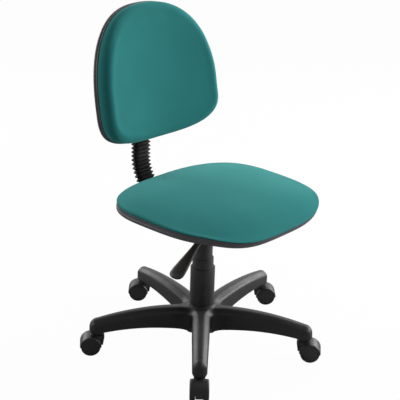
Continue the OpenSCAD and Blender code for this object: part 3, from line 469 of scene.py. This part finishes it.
def pillow_rings(line, foot, wall, edge_in, face, arc=1.0):
    """Rings of (x, y, height) from the middle of the base, round the edge, to the middle of the top.

    foot is the rounding at the base and edge_in the depth of the rounding at the top, which makes a share
    arc of a quarter turn. wall(x, y) is the edge's height at a point of the outline, and face(x, y, k) the
    height of the top at a share k of the way out."""
    out = []
    for k in np.linspace(0.1, 1, 9):
        out.append((*line(foot, k=k), 0.0))
    for t in np.linspace(0.15, 1, 5):
        a = t * math.pi / 2
        x, y = line(foot * (1 - math.sin(a)))
        out.append((x, y, wall(x, y) * FOOT_SHARE * (1 - math.cos(a))))
    x0, y0 = line(0)
    w = wall(x0, y0)
    for t in np.linspace(0.12, 1, 8):
        a = t * arc * math.pi / 2
        x1, y1 = moved_in(x0, y0, edge_in * (1 - math.cos(a)))
        out.append((x1, y1, w * (FOOT_SHARE + (1 - FOOT_SHARE) * math.sin(a))))
    middle = y0.mean()
    for k in np.linspace(1, 0.06, 16)[1:]:
        x, y = x1 * k, middle + (y1 - middle) * k
        out.append((x, y, face(x, y, k)))
    return out


def pillow(name, rings, place):
    """Closed mesh over the rings, each carried to its place, with a point in the middle of base and top."""
    m, n = len(rings), len(rings[0][0])
    low = place(np.array([0.0]), np.array([rings[0][1].mean()]), rings[0][2])
    high = place(np.array([0.0]), np.array([rings[-1][1].mean()]), np.mean(rings[-1][2]) + 0.05)
    faces = grid_faces(m, n) + fan_faces(m * n, 0, n) + fan_faces(m * n + 1, (m - 1) * n, n)
    return new_object(name, np.vstack([place(*ring) for ring in rings] + [low, high]), faces)


def averaged(move, me, rounds):
    """A field over the vertices, each round halfway towards its neighbours' mean."""
    edges = np.empty(len(me.edges) * 2, np.int32)
    me.edges.foreach_get("vertices", edges)
    a, b = edges.reshape(-1, 2).T
    ends, others = np.r_[a, b], np.r_[b, a]
    degree = np.bincount(ends, minlength=len(move))[:, None]
    for _ in range(rounds):
        total = np.stack([np.bincount(ends, column[others], len(move)) for column in move.T], 1)
        move = 0.5 * move + 0.5 * total / degree
    return move


def inflated(obj, keep):
    """Where the vertices are after a cloth simulation under pressure; keep is 1 where they are held."""
    group = obj.vertex_groups.new(name="held")
    for w in (0.25, 0.5, 0.75, 1.0):
        group.add([int(i) for i in np.nonzero(np.abs(keep - w) < 0.126)[0]], w, "REPLACE")
    c = obj.modifiers.new("stuff", "CLOTH")
    s = c.settings
    s.quality = 6
    s.mass = 0.3
    s.tension_stiffness = s.compression_stiffness = 18
    s.shear_stiffness = 6
    s.bending_stiffness = 0.8
    s.use_pressure = True
    s.uniform_pressure_force = PAD_PRESSURE
    s.vertex_group_mass = "held"
    s.pin_stiffness = 5
    s.effector_weights.gravity = 0
    c.collision_settings.use_collision = False
    c.point_cache.frame_start, c.point_cache.frame_end = 1, PAD_FRAMES
    scene.frame_start, scene.frame_end = 1, PAD_FRAMES
    for f in range(1, PAD_FRAMES + 1):
        scene.frame_set(f)
    swollen = positions(obj.evaluated_get(bpy.context.evaluated_depsgraph_get()).data)
    obj.modifiers.clear()
    obj.vertex_groups.clear()
    scene.frame_set(1)
    return swollen


def swell(obj, held, rounds=30, neighbours=6):
    """Runs the cloth simulation on a voxel remesh and carries its travel, evened over some rounds and capped,
    over to the pad's own mesh, which keeps a clean edge; each vertex follows its nearest neighbours."""
    clean = obj.data.copy()
    remesh(obj, PAD_VOXEL)
    rest = positions(obj.data)
    keep = held(rest)
    move = averaged(inflated(obj, keep) - rest, obj.data, rounds)
    length = np.linalg.norm(move, axis=1)
    move *= (PAD_SWELL * (1 - keep) * np.tanh(length / PAD_SWELL) / np.maximum(length, 1e-9))[:, None]
    tree = KDTree(len(rest))
    for i, p in enumerate(rest):
        tree.insert(p, i)
    tree.balance()
    end = positions(clean)
    for i, p in enumerate(end.copy()):
        near = tree.find_n(p, neighbours)
        share = np.array([1 / (0.002 + d) for _, _, d in near])
        end[i] += share @ move[[k for _, k, _ in near]] / share.sum()
    set_positions(clean, end)
    obj.data = clean


def stuffed(obj, held):
    """Inflates the pad a little and subdivides it once; held(points) is 1 where the cloth is fast."""
    swell(obj, held)
    sub = obj.modifiers.new("fine", "SUBSURF")
    sub.levels = sub.render_levels = 1
    apply_modifiers(obj)
    obj.data.shade_smooth()


def held_share(height, fade):
    """1 up to 1 mm over the foam's base, falling to 0 over the fade."""
    return np.clip(1 - (height - 1) / fade, 0, 1)


def seat_held(co):
    return held_share(seat_height(co / MM) + SEAT_H - SEAT_FOAM_Z0, SEAT_HOLD_FADE)


def seat_place(x, y, h):
    return seat_point(x, y, SEAT_FOAM_Z0 + h)


def seat_pad_line(inset, k=1.0):
    return seat_line(inset + SEAT_PAD_INSET, k=k)


def seat_wall(x, y):
    """Low all round and lowest at the front corners, where the foam is drawn down over the bent edge."""
    front, back = np.clip(-y / 210, 0, 1) ** 2, np.clip(y / 150, 0, 1) ** 1.5
    corner = front * (x / 200) ** 2
    return SEAT_EDGE_H - SEAT_DROP_FRONT * front - SEAT_DROP_CORNER * corner - SEAT_DROP_BACK * back


def seat_face(x, y, k):
    """Crown of the seat, which starts where the rounding ends and is steeper towards the front."""
    rim = seat_wall(x, y) * (FOOT_SHARE + (1 - FOOT_SHARE) * math.sin(SEAT_ARC * math.pi / 2))
    return rim + (SEAT_CROWN_H - rim) * (1 - k ** (2.1 + 0.6 * np.clip(-y / 180, 0, 1)))


seat_rings = pillow_rings(seat_pad_line, SEAT_PAD_FOOT, seat_wall, SEAT_EDGE_IN, seat_face, SEAT_ARC)
seat_cushion = pillow("seat_pad", seat_rings, seat_place)
stuffed(seat_cushion, seat_held)
finish(seat_cushion, "lift", "seat_cushion", "teal_fabric", "seat_fabric")


def back_held(co):
    c, s = math.cos(BACK_TILT), math.sin(BACK_TILT)
    x, y, z = (co / MM - (0, BACK_Y, BACK_H)).T
    return held_share(z * s - y * c - back_sag(x) - BACK_FOAM_FRONT, BACK_HOLD_FADE)


def back_place(x, w, h):
    return back_point(x, -(BACK_FOAM_FRONT + h), w)


def back_pad_line(inset, k=1.0):
    return back_line(inset - BACK_PAD_OUTSET, k=k)


def back_wall(x, w):
    """Thinner in the middle than at the sides, so that the backrest is hollow across; fuller low down."""
    return BACK_EDGE_H + BACK_MORE_AT_SIDES * (x / 190) ** 2 + BACK_MORE_LOW_DOWN * np.clip(-w / 90, 0, 1)


def back_face(x, w, k):
    return back_wall(x, w) + BACK_CROWN * (1 - k ** 5)


back_rings = pillow_rings(back_pad_line, BACK_PAD_FOOT, back_wall, BACK_EDGE_IN, back_face)
back_cushion = pillow("back_pad", back_rings, back_place)
stuffed(back_cushion, back_held)
finish(back_cushion, "backrest", "back_cushion", "teal_fabric", "back_fabric")

# ---------------------------------------------------------------- edge trims

TRIM_WALL, TRIM_LIP = 3, 9


def trim_profile(z0, z1):
    """Closed C section as (inset, height): lips over and under the board, a bead along one edge outside."""
    h = z1 - z0
    bead = [(0.9, 0.0), (0.25, 0.06), (0.0, 0.2), (0.0, 0.38), (0.4, 0.47)]
    groove = [(1.4, 0.53), (1.7, 0.6), (1.7, 0.8), (1.2, 0.87), (1.1, 0.94), (1.7, 1.0)]
    upper_lip = [(TRIM_LIP - 0.5, h), (TRIM_LIP, h - 0.5 * LIP_T), (TRIM_LIP - 0.3, h - LIP_T)]
    channel = [(TRIM_WALL, h - LIP_T), (TRIM_WALL, LIP_T)]
    lower_lip = [(TRIM_LIP - 0.3, LIP_T), (TRIM_LIP, 0.5 * LIP_T), (TRIM_LIP - 0.5, 0.0)]
    outside = [(i, share * h) for i, share in bead + groove]
    return [(i, z0 + z) for i, z in outside + upper_lip + channel + lower_lip]


def swept(name, profile, line, place, count=240):
    rings = np.vstack([place(*line(i, count), h) for i, h in profile])
    return crease_shading(new_object(name, rings, grid_faces(len(profile), count, True)), 50)


def back_trim_place(x, w, h):
    return back_point(x, -h, w)


seat_trim = swept("seat_edge", trim_profile(SEAT_TRIM_Z0, SEAT_TRIM_Z1), seat_line, seat_point)
finish(seat_trim, "lift", "seat_trim", "edge_trim")
back_profile = trim_profile(-BACK_HALF_T - LIP_T, BACK_HALF_T + LIP_T)
finish(swept("back_edge", back_profile, back_line, back_trim_place), "backrest", "back_trim", "edge_trim")

# ---------------------------------------------------------------- rear cover

SHELL_POINTS = 200
SHELL_EDGE = [(9.4, 5.0), (9.3, 6.2), (9.5, 7.0), (10.2, 7.6), (11.4, 8.0), (16, 8.0)]
SHELL_STEP = [(17, 7.9), (17.6, 7.5), (19, 7.4), (20, 7.8), (21, 8.0)]


def rear_shell():
    """Moulded shell behind the backrest: rounded edge and a shallow step round its border."""

    def ring(inset, depth, k=1.0):
        x, w = back_line(inset, SHELL_POINTS, k)
        return back_point(x, depth, w)

    rings = [ring(*SHELL_EDGE[0], k) for k in np.linspace(0.06, 1, 6)[:-1]]
    rings += [ring(inset, depth) for inset, depth in SHELL_EDGE + SHELL_STEP]
    rings += [ring(*SHELL_STEP[-1], k) for k in np.linspace(1, 0.06, 18)[1:]]
    last = (len(rings) - 1) * SHELL_POINTS
    caps = [tuple(range(SHELL_POINTS)), tuple(range(last, last + SHELL_POINTS))]
    return new_object("rear_shell", np.vstack(rings), grid_faces(len(rings), SHELL_POINTS) + caps)


finish(crease_shading(rear_shell(), 40), "backrest", "rear_cover", "cover_plastic")

# ---------------------------------------------------------------- base

ARMS, STEM_R, FIRST_TURN = 5, 277, math.radians(-138.4)
HUB_R, HUB_Z0, HUB_Z1 = 36, 31, 110.5
HUB_FOOT_H, HUB_FOOT_IN = 18, 9
ARM_HALF_W, ARM_NARROWS, ARM_NARROWS_FROM = 22.5, 4, 110
ARM_START, ARM_END = 8, 20
FLARE_R, FLARE_LENGTH, FLARE = HUB_R + 34, 40, 14
TOP_H, TOP_AT, TOP_FLATNESS, TOP_DROP = HUB_Z1, 138, 1450, 19
LOW_H, LOW_AT, LOW_FLATNESS = 64.8, 205, 1240
SHOULDER_TURN, SHOULDER_IN, SHOULDER_DOWN = math.radians(36.1), 4.5, 7
BOSS_R, BOSS_Z0, BOSS_Z1 = 16.5, 56, 82
SHOULDER_FILLET, EDGE_FILLET, BOSS_EDGE, BOSS_FILLET = 5.0, 3.0, 1.5, 3.0
ROOT_FILLET, HUB_EDGE, HUB_FILLET = 9.0, 2.0, 5.0
BASE_VOXEL = 0.002
NEAR_SURFACE, LEAST_FACING, MOST_STEP, DRAWING_ROUNDS = 14, 0.3, 2.0, 12


def smax(a, b, k):
    """The larger of two fields, with a fillet of size k where they meet."""
    h = np.clip(k - np.abs(a - b), 0, None) / k
    return np.maximum(a, b) + h * h * k / 4


def smin(a, b, k):
    return -smax(-a, -b, k)


def arm_field(x, y, z, turn):
    """One arm with its boss: parabolas for its top and underside, bevelled shoulders and a rounded end."""
    r = x * math.cos(turn) + y * math.sin(turn)
    t = np.abs(-x * math.sin(turn) + y * math.cos(turn))
    s = np.clip((r - STEM_R) / ARM_END, 0, 0.9995)
    c = np.sqrt(1 - s * s)
    rr = np.minimum(r, STEM_R)
    flare = FLARE * np.clip((np.clip(FLARE_R - rr, 0, None) / FLARE_LENGTH) ** 2, 0, 1.5)
    narrowing = ARM_NARROWS * np.clip(rr - ARM_NARROWS_FROM, 0, None) / (STEM_R - ARM_NARROWS_FROM)
    w = (ARM_HALF_W - narrowing + flare) * c ** 0.8
    top = TOP_H - (rr - TOP_AT) ** 2 / TOP_FLATNESS - TOP_DROP * (1 - c)
    low = LOW_H - (rr - LOW_AT) ** 2 / LOW_FLATNESS
    side = t - w * (1 - SHOULDER_IN / ARM_HALF_W)
    shoulder = math.sin(SHOULDER_TURN) * side + math.cos(SHOULDER_TURN) * (z - top + SHOULDER_DOWN)
    d = smax(t - w, shoulder, SHOULDER_FILLET)
    d = smax(d, z - top, EDGE_FILLET)
    d = smax(d, low - z, EDGE_FILLET)
    d = np.maximum(d, r - STEM_R - ARM_END + 0.01)
    d = np.maximum(d, ARM_START - r)
    boss = smax(np.hypot(r - STEM_R, t) - BOSS_R, np.maximum(BOSS_Z0 - z, z - BOSS_Z1), BOSS_EDGE)
    return smin(d, boss, BOSS_FILLET)


def base_field(p):
    """Signed field of the base's outside, in mm: five arms, bosses and a hub with fillets between them."""
    x, y, z = p.T
    f = arm_field(x, y, z, FIRST_TURN)
    for i in range(1, ARMS):
        f = smin(f, arm_field(x, y, z, FIRST_TURN + i * 2 * math.pi / ARMS), ROOT_FILLET)
    foot = np.clip((HUB_Z0 + HUB_FOOT_H - z) / HUB_FOOT_H, 0, 1.2) * HUB_FOOT_IN
    hub = smax(smax(np.hypot(x, y) - HUB_R + foot, z - HUB_Z1, HUB_EDGE), HUB_Z0 - z, HUB_EDGE)
    return smin(f, hub, HUB_FILLET)


def base_gradient(p, e=0.2):
    return np.stack([(base_field(p + e * d) - base_field(p - e * d)) / (2 * e) for d in (X, Y, Z)], 1)


def moulded_base():
    """The CAD base remeshed, with its outside drawn onto the filleted surface; its hollow underside stays."""
    obj = copy_of("five_star_base", "base_moulding")
    edit_mesh(obj.data, merge_doubles)
    remesh(obj, BASE_VOXEL)
    me = obj.data
    p = positions(me) / MM
    g = base_gradient(p)
    facing = (vectors(me.vertices, "normal") * g).sum(1) / np.maximum(np.linalg.norm(g, axis=1), 1e-6)
    on = (facing > LEAST_FACING) & (np.abs(base_field(p)) < NEAR_SURFACE)
    q = p[on]
    for _ in range(DRAWING_ROUNDS):
        g = base_gradient(q)
        step = base_field(q)[:, None] * g / np.maximum((g * g).sum(1), 0.05)[:, None]
        length = np.linalg.norm(step, axis=1)
        q = q - step * (np.minimum(length, MOST_STEP) / np.maximum(length, 1e-9))[:, None]
    p[on] = q
    set_positions(me, p * MM)
    me.shade_smooth()
    return obj


finish(moulded_base(), "base", "five_star_base", "base_nylon")

# ---------------------------------------------------------------- covers

COVER_WALL, COVER_LIP, COVER_ROUNDING, COVER_POINTS = 1.6, 3, 0.7, 96


def cover(name, node, body, r, z0, length, bore, foot_r=None):
    """Tube with a lid that leaves a bore; where foot_r is given, a wider band runs round its foot."""
    z1, lid_z = z0 + length, z0 + length - COVER_LIP
    profile = [(foot_r, z0), (foot_r, z0 + COVER_LIP), (r, z0 + COVER_LIP)] if foot_r else [(r, z0)]
    profile += [(r, z1), (bore, z1), (bore, lid_z), (r - COVER_WALL, lid_z), (r - COVER_WALL, z0)]
    obj = turned(name, rounded(profile, COVER_ROUNDING, 3), np.zeros(3), X, Y, Z, COVER_POINTS)
    finish(crease_shading(obj, 45), body, node, "cover_plastic")


cover("cover_low", "cover_lower", "base", r=31.75, z0=HUB_Z1, length=101, bore=27.55)
cover("cover_mid", "cover_middle", "middle_cover", r=27.25, z0=152.5, length=86, bore=24.3, foot_r=29.85)
cover("cover_high", "cover_upper", "lift", r=24, z0=188.2, length=150, bore=14.1, foot_r=25.35)

# ---------------------------------------------------------------- bellows

BAR_Y, BAR_R, LOW_TURN = 229, 104, math.radians(55)
BAR_LOW_Z, BELLOWS_TOP = 350.5, 547.2
BAR_CY, BAR_CZ = BAR_Y - BAR_R, BAR_LOW_Z + BAR_R
BELLOWS_HALF_W, BELLOWS_HALF_T, BELLOWS_WALL = 23, 7, 1.4
FOLD_PITCH, FOLD_DEPTH, FOLD_DEPTH_INSIDE, FOLD_STEPS = 10.5, 6, 5.4, 10
BELLOWS_POINTS = 72


def bellows():
    """Folded sleeve along the back bar: its outside from the low end up, then its inside back down."""
    arc = BAR_R * LOW_TURN
    total = arc + BELLOWS_TOP - BAR_CZ
    steps = int(total // FOLD_PITCH) * FOLD_STEPS

    def ring(i, inset, depth):
        s = total * i / steps
        fold = depth * (1 - abs(2 * (i % FOLD_STEPS) / FOLD_STEPS - 1)) ** 0.9
        a, b = BELLOWS_HALF_W - inset + fold, BELLOWS_HALF_T - inset + fold
        turn = max(0.0, LOW_TURN - s / BAR_R)
        y, z = BAR_CY + BAR_R * math.cos(turn), BAR_CZ - BAR_R * math.sin(turn) + max(0.0, s - arc)
        px, py = superellipse(a, b, b, 4, 4, BELLOWS_POINTS)
        return np.c_[px, y + py * math.cos(turn), z - py * math.sin(turn)]

    rings = [ring(i, 0, FOLD_DEPTH) for i in range(steps + 1)]
    rings += [ring(i, BELLOWS_WALL, FOLD_DEPTH_INSIDE) for i in range(steps, -1, -1)]
    return new_object("bar_gaiter", np.vstack(rings), grid_faces(len(rings), BELLOWS_POINTS, True))


gaiter = crease_shading(bellows(), 70)
gaiter.data.materials.append(mats["bellows_rubber"])
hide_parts("bar_bellows")
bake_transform(gaiter)

# ---------------------------------------------------------------- lever grip

BEND_X, LEVER_Y, ROD_Z = -52, -82, 385.45
DROOP, TURN = math.radians(30.7), math.radians(187)
LEVER_L, GRIP_L = 193, 124
GRIP_NECK, GRIP_HALF_W, GRIP_HALF_T = 7.0, 19.0, 7.5
GRIP_BORE, GRIP_BORE_L = 5.06, 39.0
GRIP_TIP_FROM, GRIP_POINTS = 0.88, 64


def lever_point(p):
    """From along the lever to the row frame."""
    x, y, z = p.T
    x, z = x * math.cos(DROOP) + z * math.sin(DROOP), -x * math.sin(DROOP) + z * math.cos(DROOP)
    c, s = math.cos(TURN), math.sin(TURN)
    return np.c_[BEND_X + x * c - y * s, LEVER_Y + x * s + y * c, ROD_Z + z]


def grip():
    """Paddle that widens from its neck to a rounded tip, with a blind bore for the rod."""

    def ring(x, a, b):
        px, py = superellipse(a, b, b, 2.4, 2.4, GRIP_POINTS)
        return lever_point(np.c_[np.full(GRIP_POINTS, LEVER_L - GRIP_L + x), px, py])

    rings = [ring(x, GRIP_BORE, GRIP_BORE) for x in (GRIP_BORE_L + 1.3, GRIP_BORE_L, 0.0)]
    rings += [ring(x, GRIP_NECK - inset, GRIP_NECK - inset) for x, inset in ((0.0, 1.0), (0.4, 0.3))]
    for s in np.linspace(0.01, GRIP_TIP_FROM, 34):
        wide = 1 - math.cos(math.pi / 2 * min(s / 0.86, 1)) ** 1.4
        thick = min(s / 0.6, 1)
        rings.append(ring(s * GRIP_L, GRIP_NECK + (GRIP_HALF_W - GRIP_NECK) * wide,
                          GRIP_NECK + (GRIP_HALF_T - GRIP_NECK) * thick))
    for t in np.radians(np.linspace(8, 88, 14)):
        x = (GRIP_TIP_FROM + (1 - GRIP_TIP_FROM) * math.sin(t)) * GRIP_L
        rings.append(ring(x, GRIP_HALF_W * math.cos(t) ** 0.75, GRIP_HALF_T * math.cos(t) ** 0.6))
    tip = lever_point(np.array([[LEVER_L, 0.0, 0.0]]))
    m, n = len(rings), GRIP_POINTS
    faces = grid_faces(m, n) + fan_faces(m * n, (m - 1) * n, n) + [tuple(range(n))]
    return new_object("lever_paddle", np.vstack(rings + [tip]), faces)


finish(crease_shading(grip(), 50), "lever", "lever_grip", "grip_plastic")

# ---------------------------------------------------------------- castors

HEADINGS = [-137, -54, -46, 133, 138]  # the way each castor points, in degrees
TRAIL, WHEEL_R, WHEEL_T, WHEEL_FROM, AXLE_BORE = 17, 25, 13.5, 9.75, 3.05
WHEEL_ROUNDING, WHEEL_POINTS = 0.4, 72


def castor_frame(i):
    """Centre between a castor's wheels, the way it points, and the way to its left."""
    a, h = FIRST_TURN + (i - 1) * 2 * math.pi / ARMS, math.radians(HEADINGS[i - 1])
    ahead, across = np.array([math.cos(h), math.sin(h), 0.0]), np.array([-math.sin(h), math.cos(h), 0.0])
    stem = STEM_R * np.array([math.cos(a), math.sin(a), 0.0])
    return stem + TRAIL * ahead + WHEEL_R * Z, ahead, across


def wheel_profile():
    """Half section as (radius, height over the inner face): hollow inside, rounded shoulder, groove, cap."""
    inner = [(AXLE_BORE, 0.0), (9, 0.0), (10, 1.5), (21, 1.5), (22, 0.1), (24, 0.4), (WHEEL_R, 2)]
    turn = np.radians(np.linspace(0, 90, 9))
    shoulder = [(WHEEL_R - 3 * (1 - math.cos(t)), WHEEL_T - 6 * (1 - math.sin(t))) for t in turn]
    groove = [(20.8, WHEEL_T), (20.2, 12.8), (19.4, 13.2)]
    cap = [(12, 13.6), (4, 13.75), (0.02, 13.8), (0.02, 10.9), (AXLE_BORE, 10.9)]
    return rounded(inner + shoulder + groove + cap, WHEEL_ROUNDING, 2)


def wheel(i, side):
    centre, ahead, across = castor_frame(i)
    out = across if side == "left" else -across
    name = "castor_%d_roller_%s" % (i, side)
    obj = turned(name, wheel_profile(), centre + WHEEL_FROM * out, ahead, Z, out, WHEEL_POINTS)
    node = "castor_%d_wheel_%s" % (i, side)
    finish(crease_shading(obj, 40), "castor_%d_%s" % (i, side), node, "wheel_nylon")


for i in range(1, ARMS + 1):
    for side in ("left", "right"):
        wheel(i, side)
    softened("castor_%d_housing" % i, 0.0008, "castor_nylon")

# ---------------------------------------------------------------- metalwork and the rest

softened("seat_box", 0.0009, "black_steel")
softened("taper_socket", 0.0008, "black_steel")
softened("back_bracket", 0.0012, "grip_plastic")
softened("height_knob", 0.0014, "grip_plastic")
softened("back_bar", 0.0012, "black_steel", angle=40)
softened("lever_rod", 0.0008, "black_steel", angle=40)
for node in ("plate_bolts", "bar_bolts", "back_bolts"):
    softened(node, 0.0005, "zinc", segments=2)

slots = {e["node"]: e["material_slot"] for e in frame["record"]["subparts"]}
for node, obj in nodes.items():
    if not obj.hide_render:
        for ms in obj.material_slots:
            ms.material = mats[slots[node]]

# ---------------------------------------------------------------- stage, lights, camera

FLOOR_HALF = 6000


def emission_surface(name, camera_white, bounce, keep_shadow):
    """White to the camera and through glass, but for the share of the shadow that is kept; to everything
    else a plain grey surface."""
    m = bpy.data.materials.new(name)
    m.use_nodes = True
    t = m.node_tree
    t.nodes.clear()
    out = t.nodes.new("ShaderNodeOutputMaterial")
    rays = t.nodes.new("ShaderNodeLightPath")
    seen = math_node(t, "MAXIMUM", rays.outputs["Is Camera Ray"], rays.outputs["Is Transmission Ray"])
    grey = t.nodes.new("ShaderNodeBsdfDiffuse")
    grey.inputs["Color"].default_value = (bounce, bounce, bounce, 1)
    white = t.nodes.new("ShaderNodeEmission")
    white.inputs["Color"].default_value = (1, 1, 1, 1)
    white.inputs["Strength"].default_value = camera_white
    mix = t.nodes.new("ShaderNodeMixShader")
    t.links.new(math_node(t, "MULTIPLY", seen, 1 - keep_shadow), mix.inputs[0])
    t.links.new(grey.outputs[0], mix.inputs[1])
    t.links.new(white.outputs[0], mix.inputs[2])
    t.links.new(mix.outputs[0], out.inputs["Surface"])
    return m


corners = [(x * FLOOR_HALF, y * FLOOR_HALF, 0) for x, y in ((-1, -1), (1, -1), (1, 1), (-1, 1))]
floor = new_object("floor", corners, [(0, 1, 2, 3)])
floor.data.materials.append(emission_surface("floor_white", 1.03, 0.35, 0.06))

# The camera stands 2.5 m away and 1.4 m up, in front and to the right of a sitter, and looks down.
# Its place and the light are given in its own floor axes (right, away, up), which floor_turn carries over.
CAMERA_AT = (-67, -2455, 1378.5)
YAW, PITCH, ROLL = math.radians(1.27), math.radians(21.84), math.radians(-1.77)
LENS = 95.1
floor_turn = Matrix.Rotation(math.radians(-47), 3, "Z")
fwd = Vector((math.sin(YAW) * math.cos(PITCH), math.cos(YAW) * math.cos(PITCH), -math.sin(PITCH)))
right = fwd.cross(Vector((0, 0, 1))).normalized()
up = right.cross(fwd)
cam_x = math.cos(ROLL) * right - math.sin(ROLL) * up
cam_y = math.sin(ROLL) * right + math.cos(ROLL) * up
rot = Matrix([floor_turn @ axis for axis in (cam_x, cam_y, -fwd)]).transposed().to_4x4()
cam_data = bpy.data.cameras.new("camera")
cam_data.lens = LENS
cam_data.sensor_width = 36
cam_data.clip_end = 50
cam = bpy.data.objects.new("camera", cam_data)
cam.matrix_world = Matrix.Translation(floor_turn @ Vector(CAMERA_AT) * MM) @ rot
scene.collection.objects.link(cam)
scene.camera = cam

# Light of the room: each direction (right, away, up) with its radiance, which falls off as cosine squared
ROOM = [((1, 0, 0), 0.35), ((-1, 0, 0), 0.25), ((0, 1, 0), 1.25), ((0, -1, 0), 0.2), ((0, 0, 1), 0.33)]
world = bpy.data.worlds.new("studio")
scene.world = world
world.use_nodes = True
wt = world.node_tree
background = wt.nodes["Background"]
background.inputs["Color"].default_value = (1, 1, 1, 1)
look = wt.nodes.new("ShaderNodeTexCoord")
room = 0.0
for axis, radiance in ROOM:
    facing = wt.nodes.new("ShaderNodeVectorMath")
    facing.operation = "DOT_PRODUCT"
    facing.inputs[1].default_value = floor_turn @ Vector(axis)
    wt.links.new(look.outputs["Generated"], facing.inputs[0])
    near = math_node(wt, "MAXIMUM", facing.outputs["Value"], 0.0)
    room = math_node(wt, "MULTIPLY_ADD", math_node(wt, "MULTIPLY", near, near), radiance, room)
rays = wt.nodes.new("ShaderNodeLightPath")
level = wt.nodes.new("ShaderNodeMapRange")
level.inputs["To Max"].default_value = 1.0
wt.links.new(rays.outputs["Is Camera Ray"], level.inputs["Value"])
wt.links.new(room, level.inputs["To Min"])
wt.links.new(level.outputs["Result"], background.inputs["Strength"])

# Lamps: azimuth from the camera's right towards the far side, elevation, both in degrees, and strength
LAMPS = {"key": (45, 45, 0.25), "low_key": (45, 15, 0.3), "side": (12, 15, 0.8), "far_left": (135, 15, 0.27),
         "left": (178, 15, 0.2)}
LAMP_DISTANCE, LAMP_SIZE, LAMP_WATTS = 3, 1.2, 88.8
AIM = Vector((0, 0, 0.45))


def lamp(name, azimuth, elevation, strength):
    """Soft square lamp that points at the middle of the chair."""
    data = bpy.data.lights.new(name, "AREA")
    data.shape = "SQUARE"
    data.size = LAMP_SIZE
    data.energy = LAMP_WATTS * strength
    a, e = math.radians(azimuth), math.radians(elevation)
    towards = floor_turn @ Vector((math.cos(e) * math.cos(a), math.cos(e) * math.sin(a), math.sin(e)))
    obj = bpy.data.objects.new(name, data)
    obj.matrix_world = (Matrix.Translation(AIM + LAMP_DISTANCE * towards)
                        @ (-towards).to_track_quat("-Z", "Y").to_matrix().to_4x4())
    scene.collection.objects.link(obj)


for name, place in LAMPS.items():
    lamp(name, *place)

scene.view_settings.view_transform = "Standard"
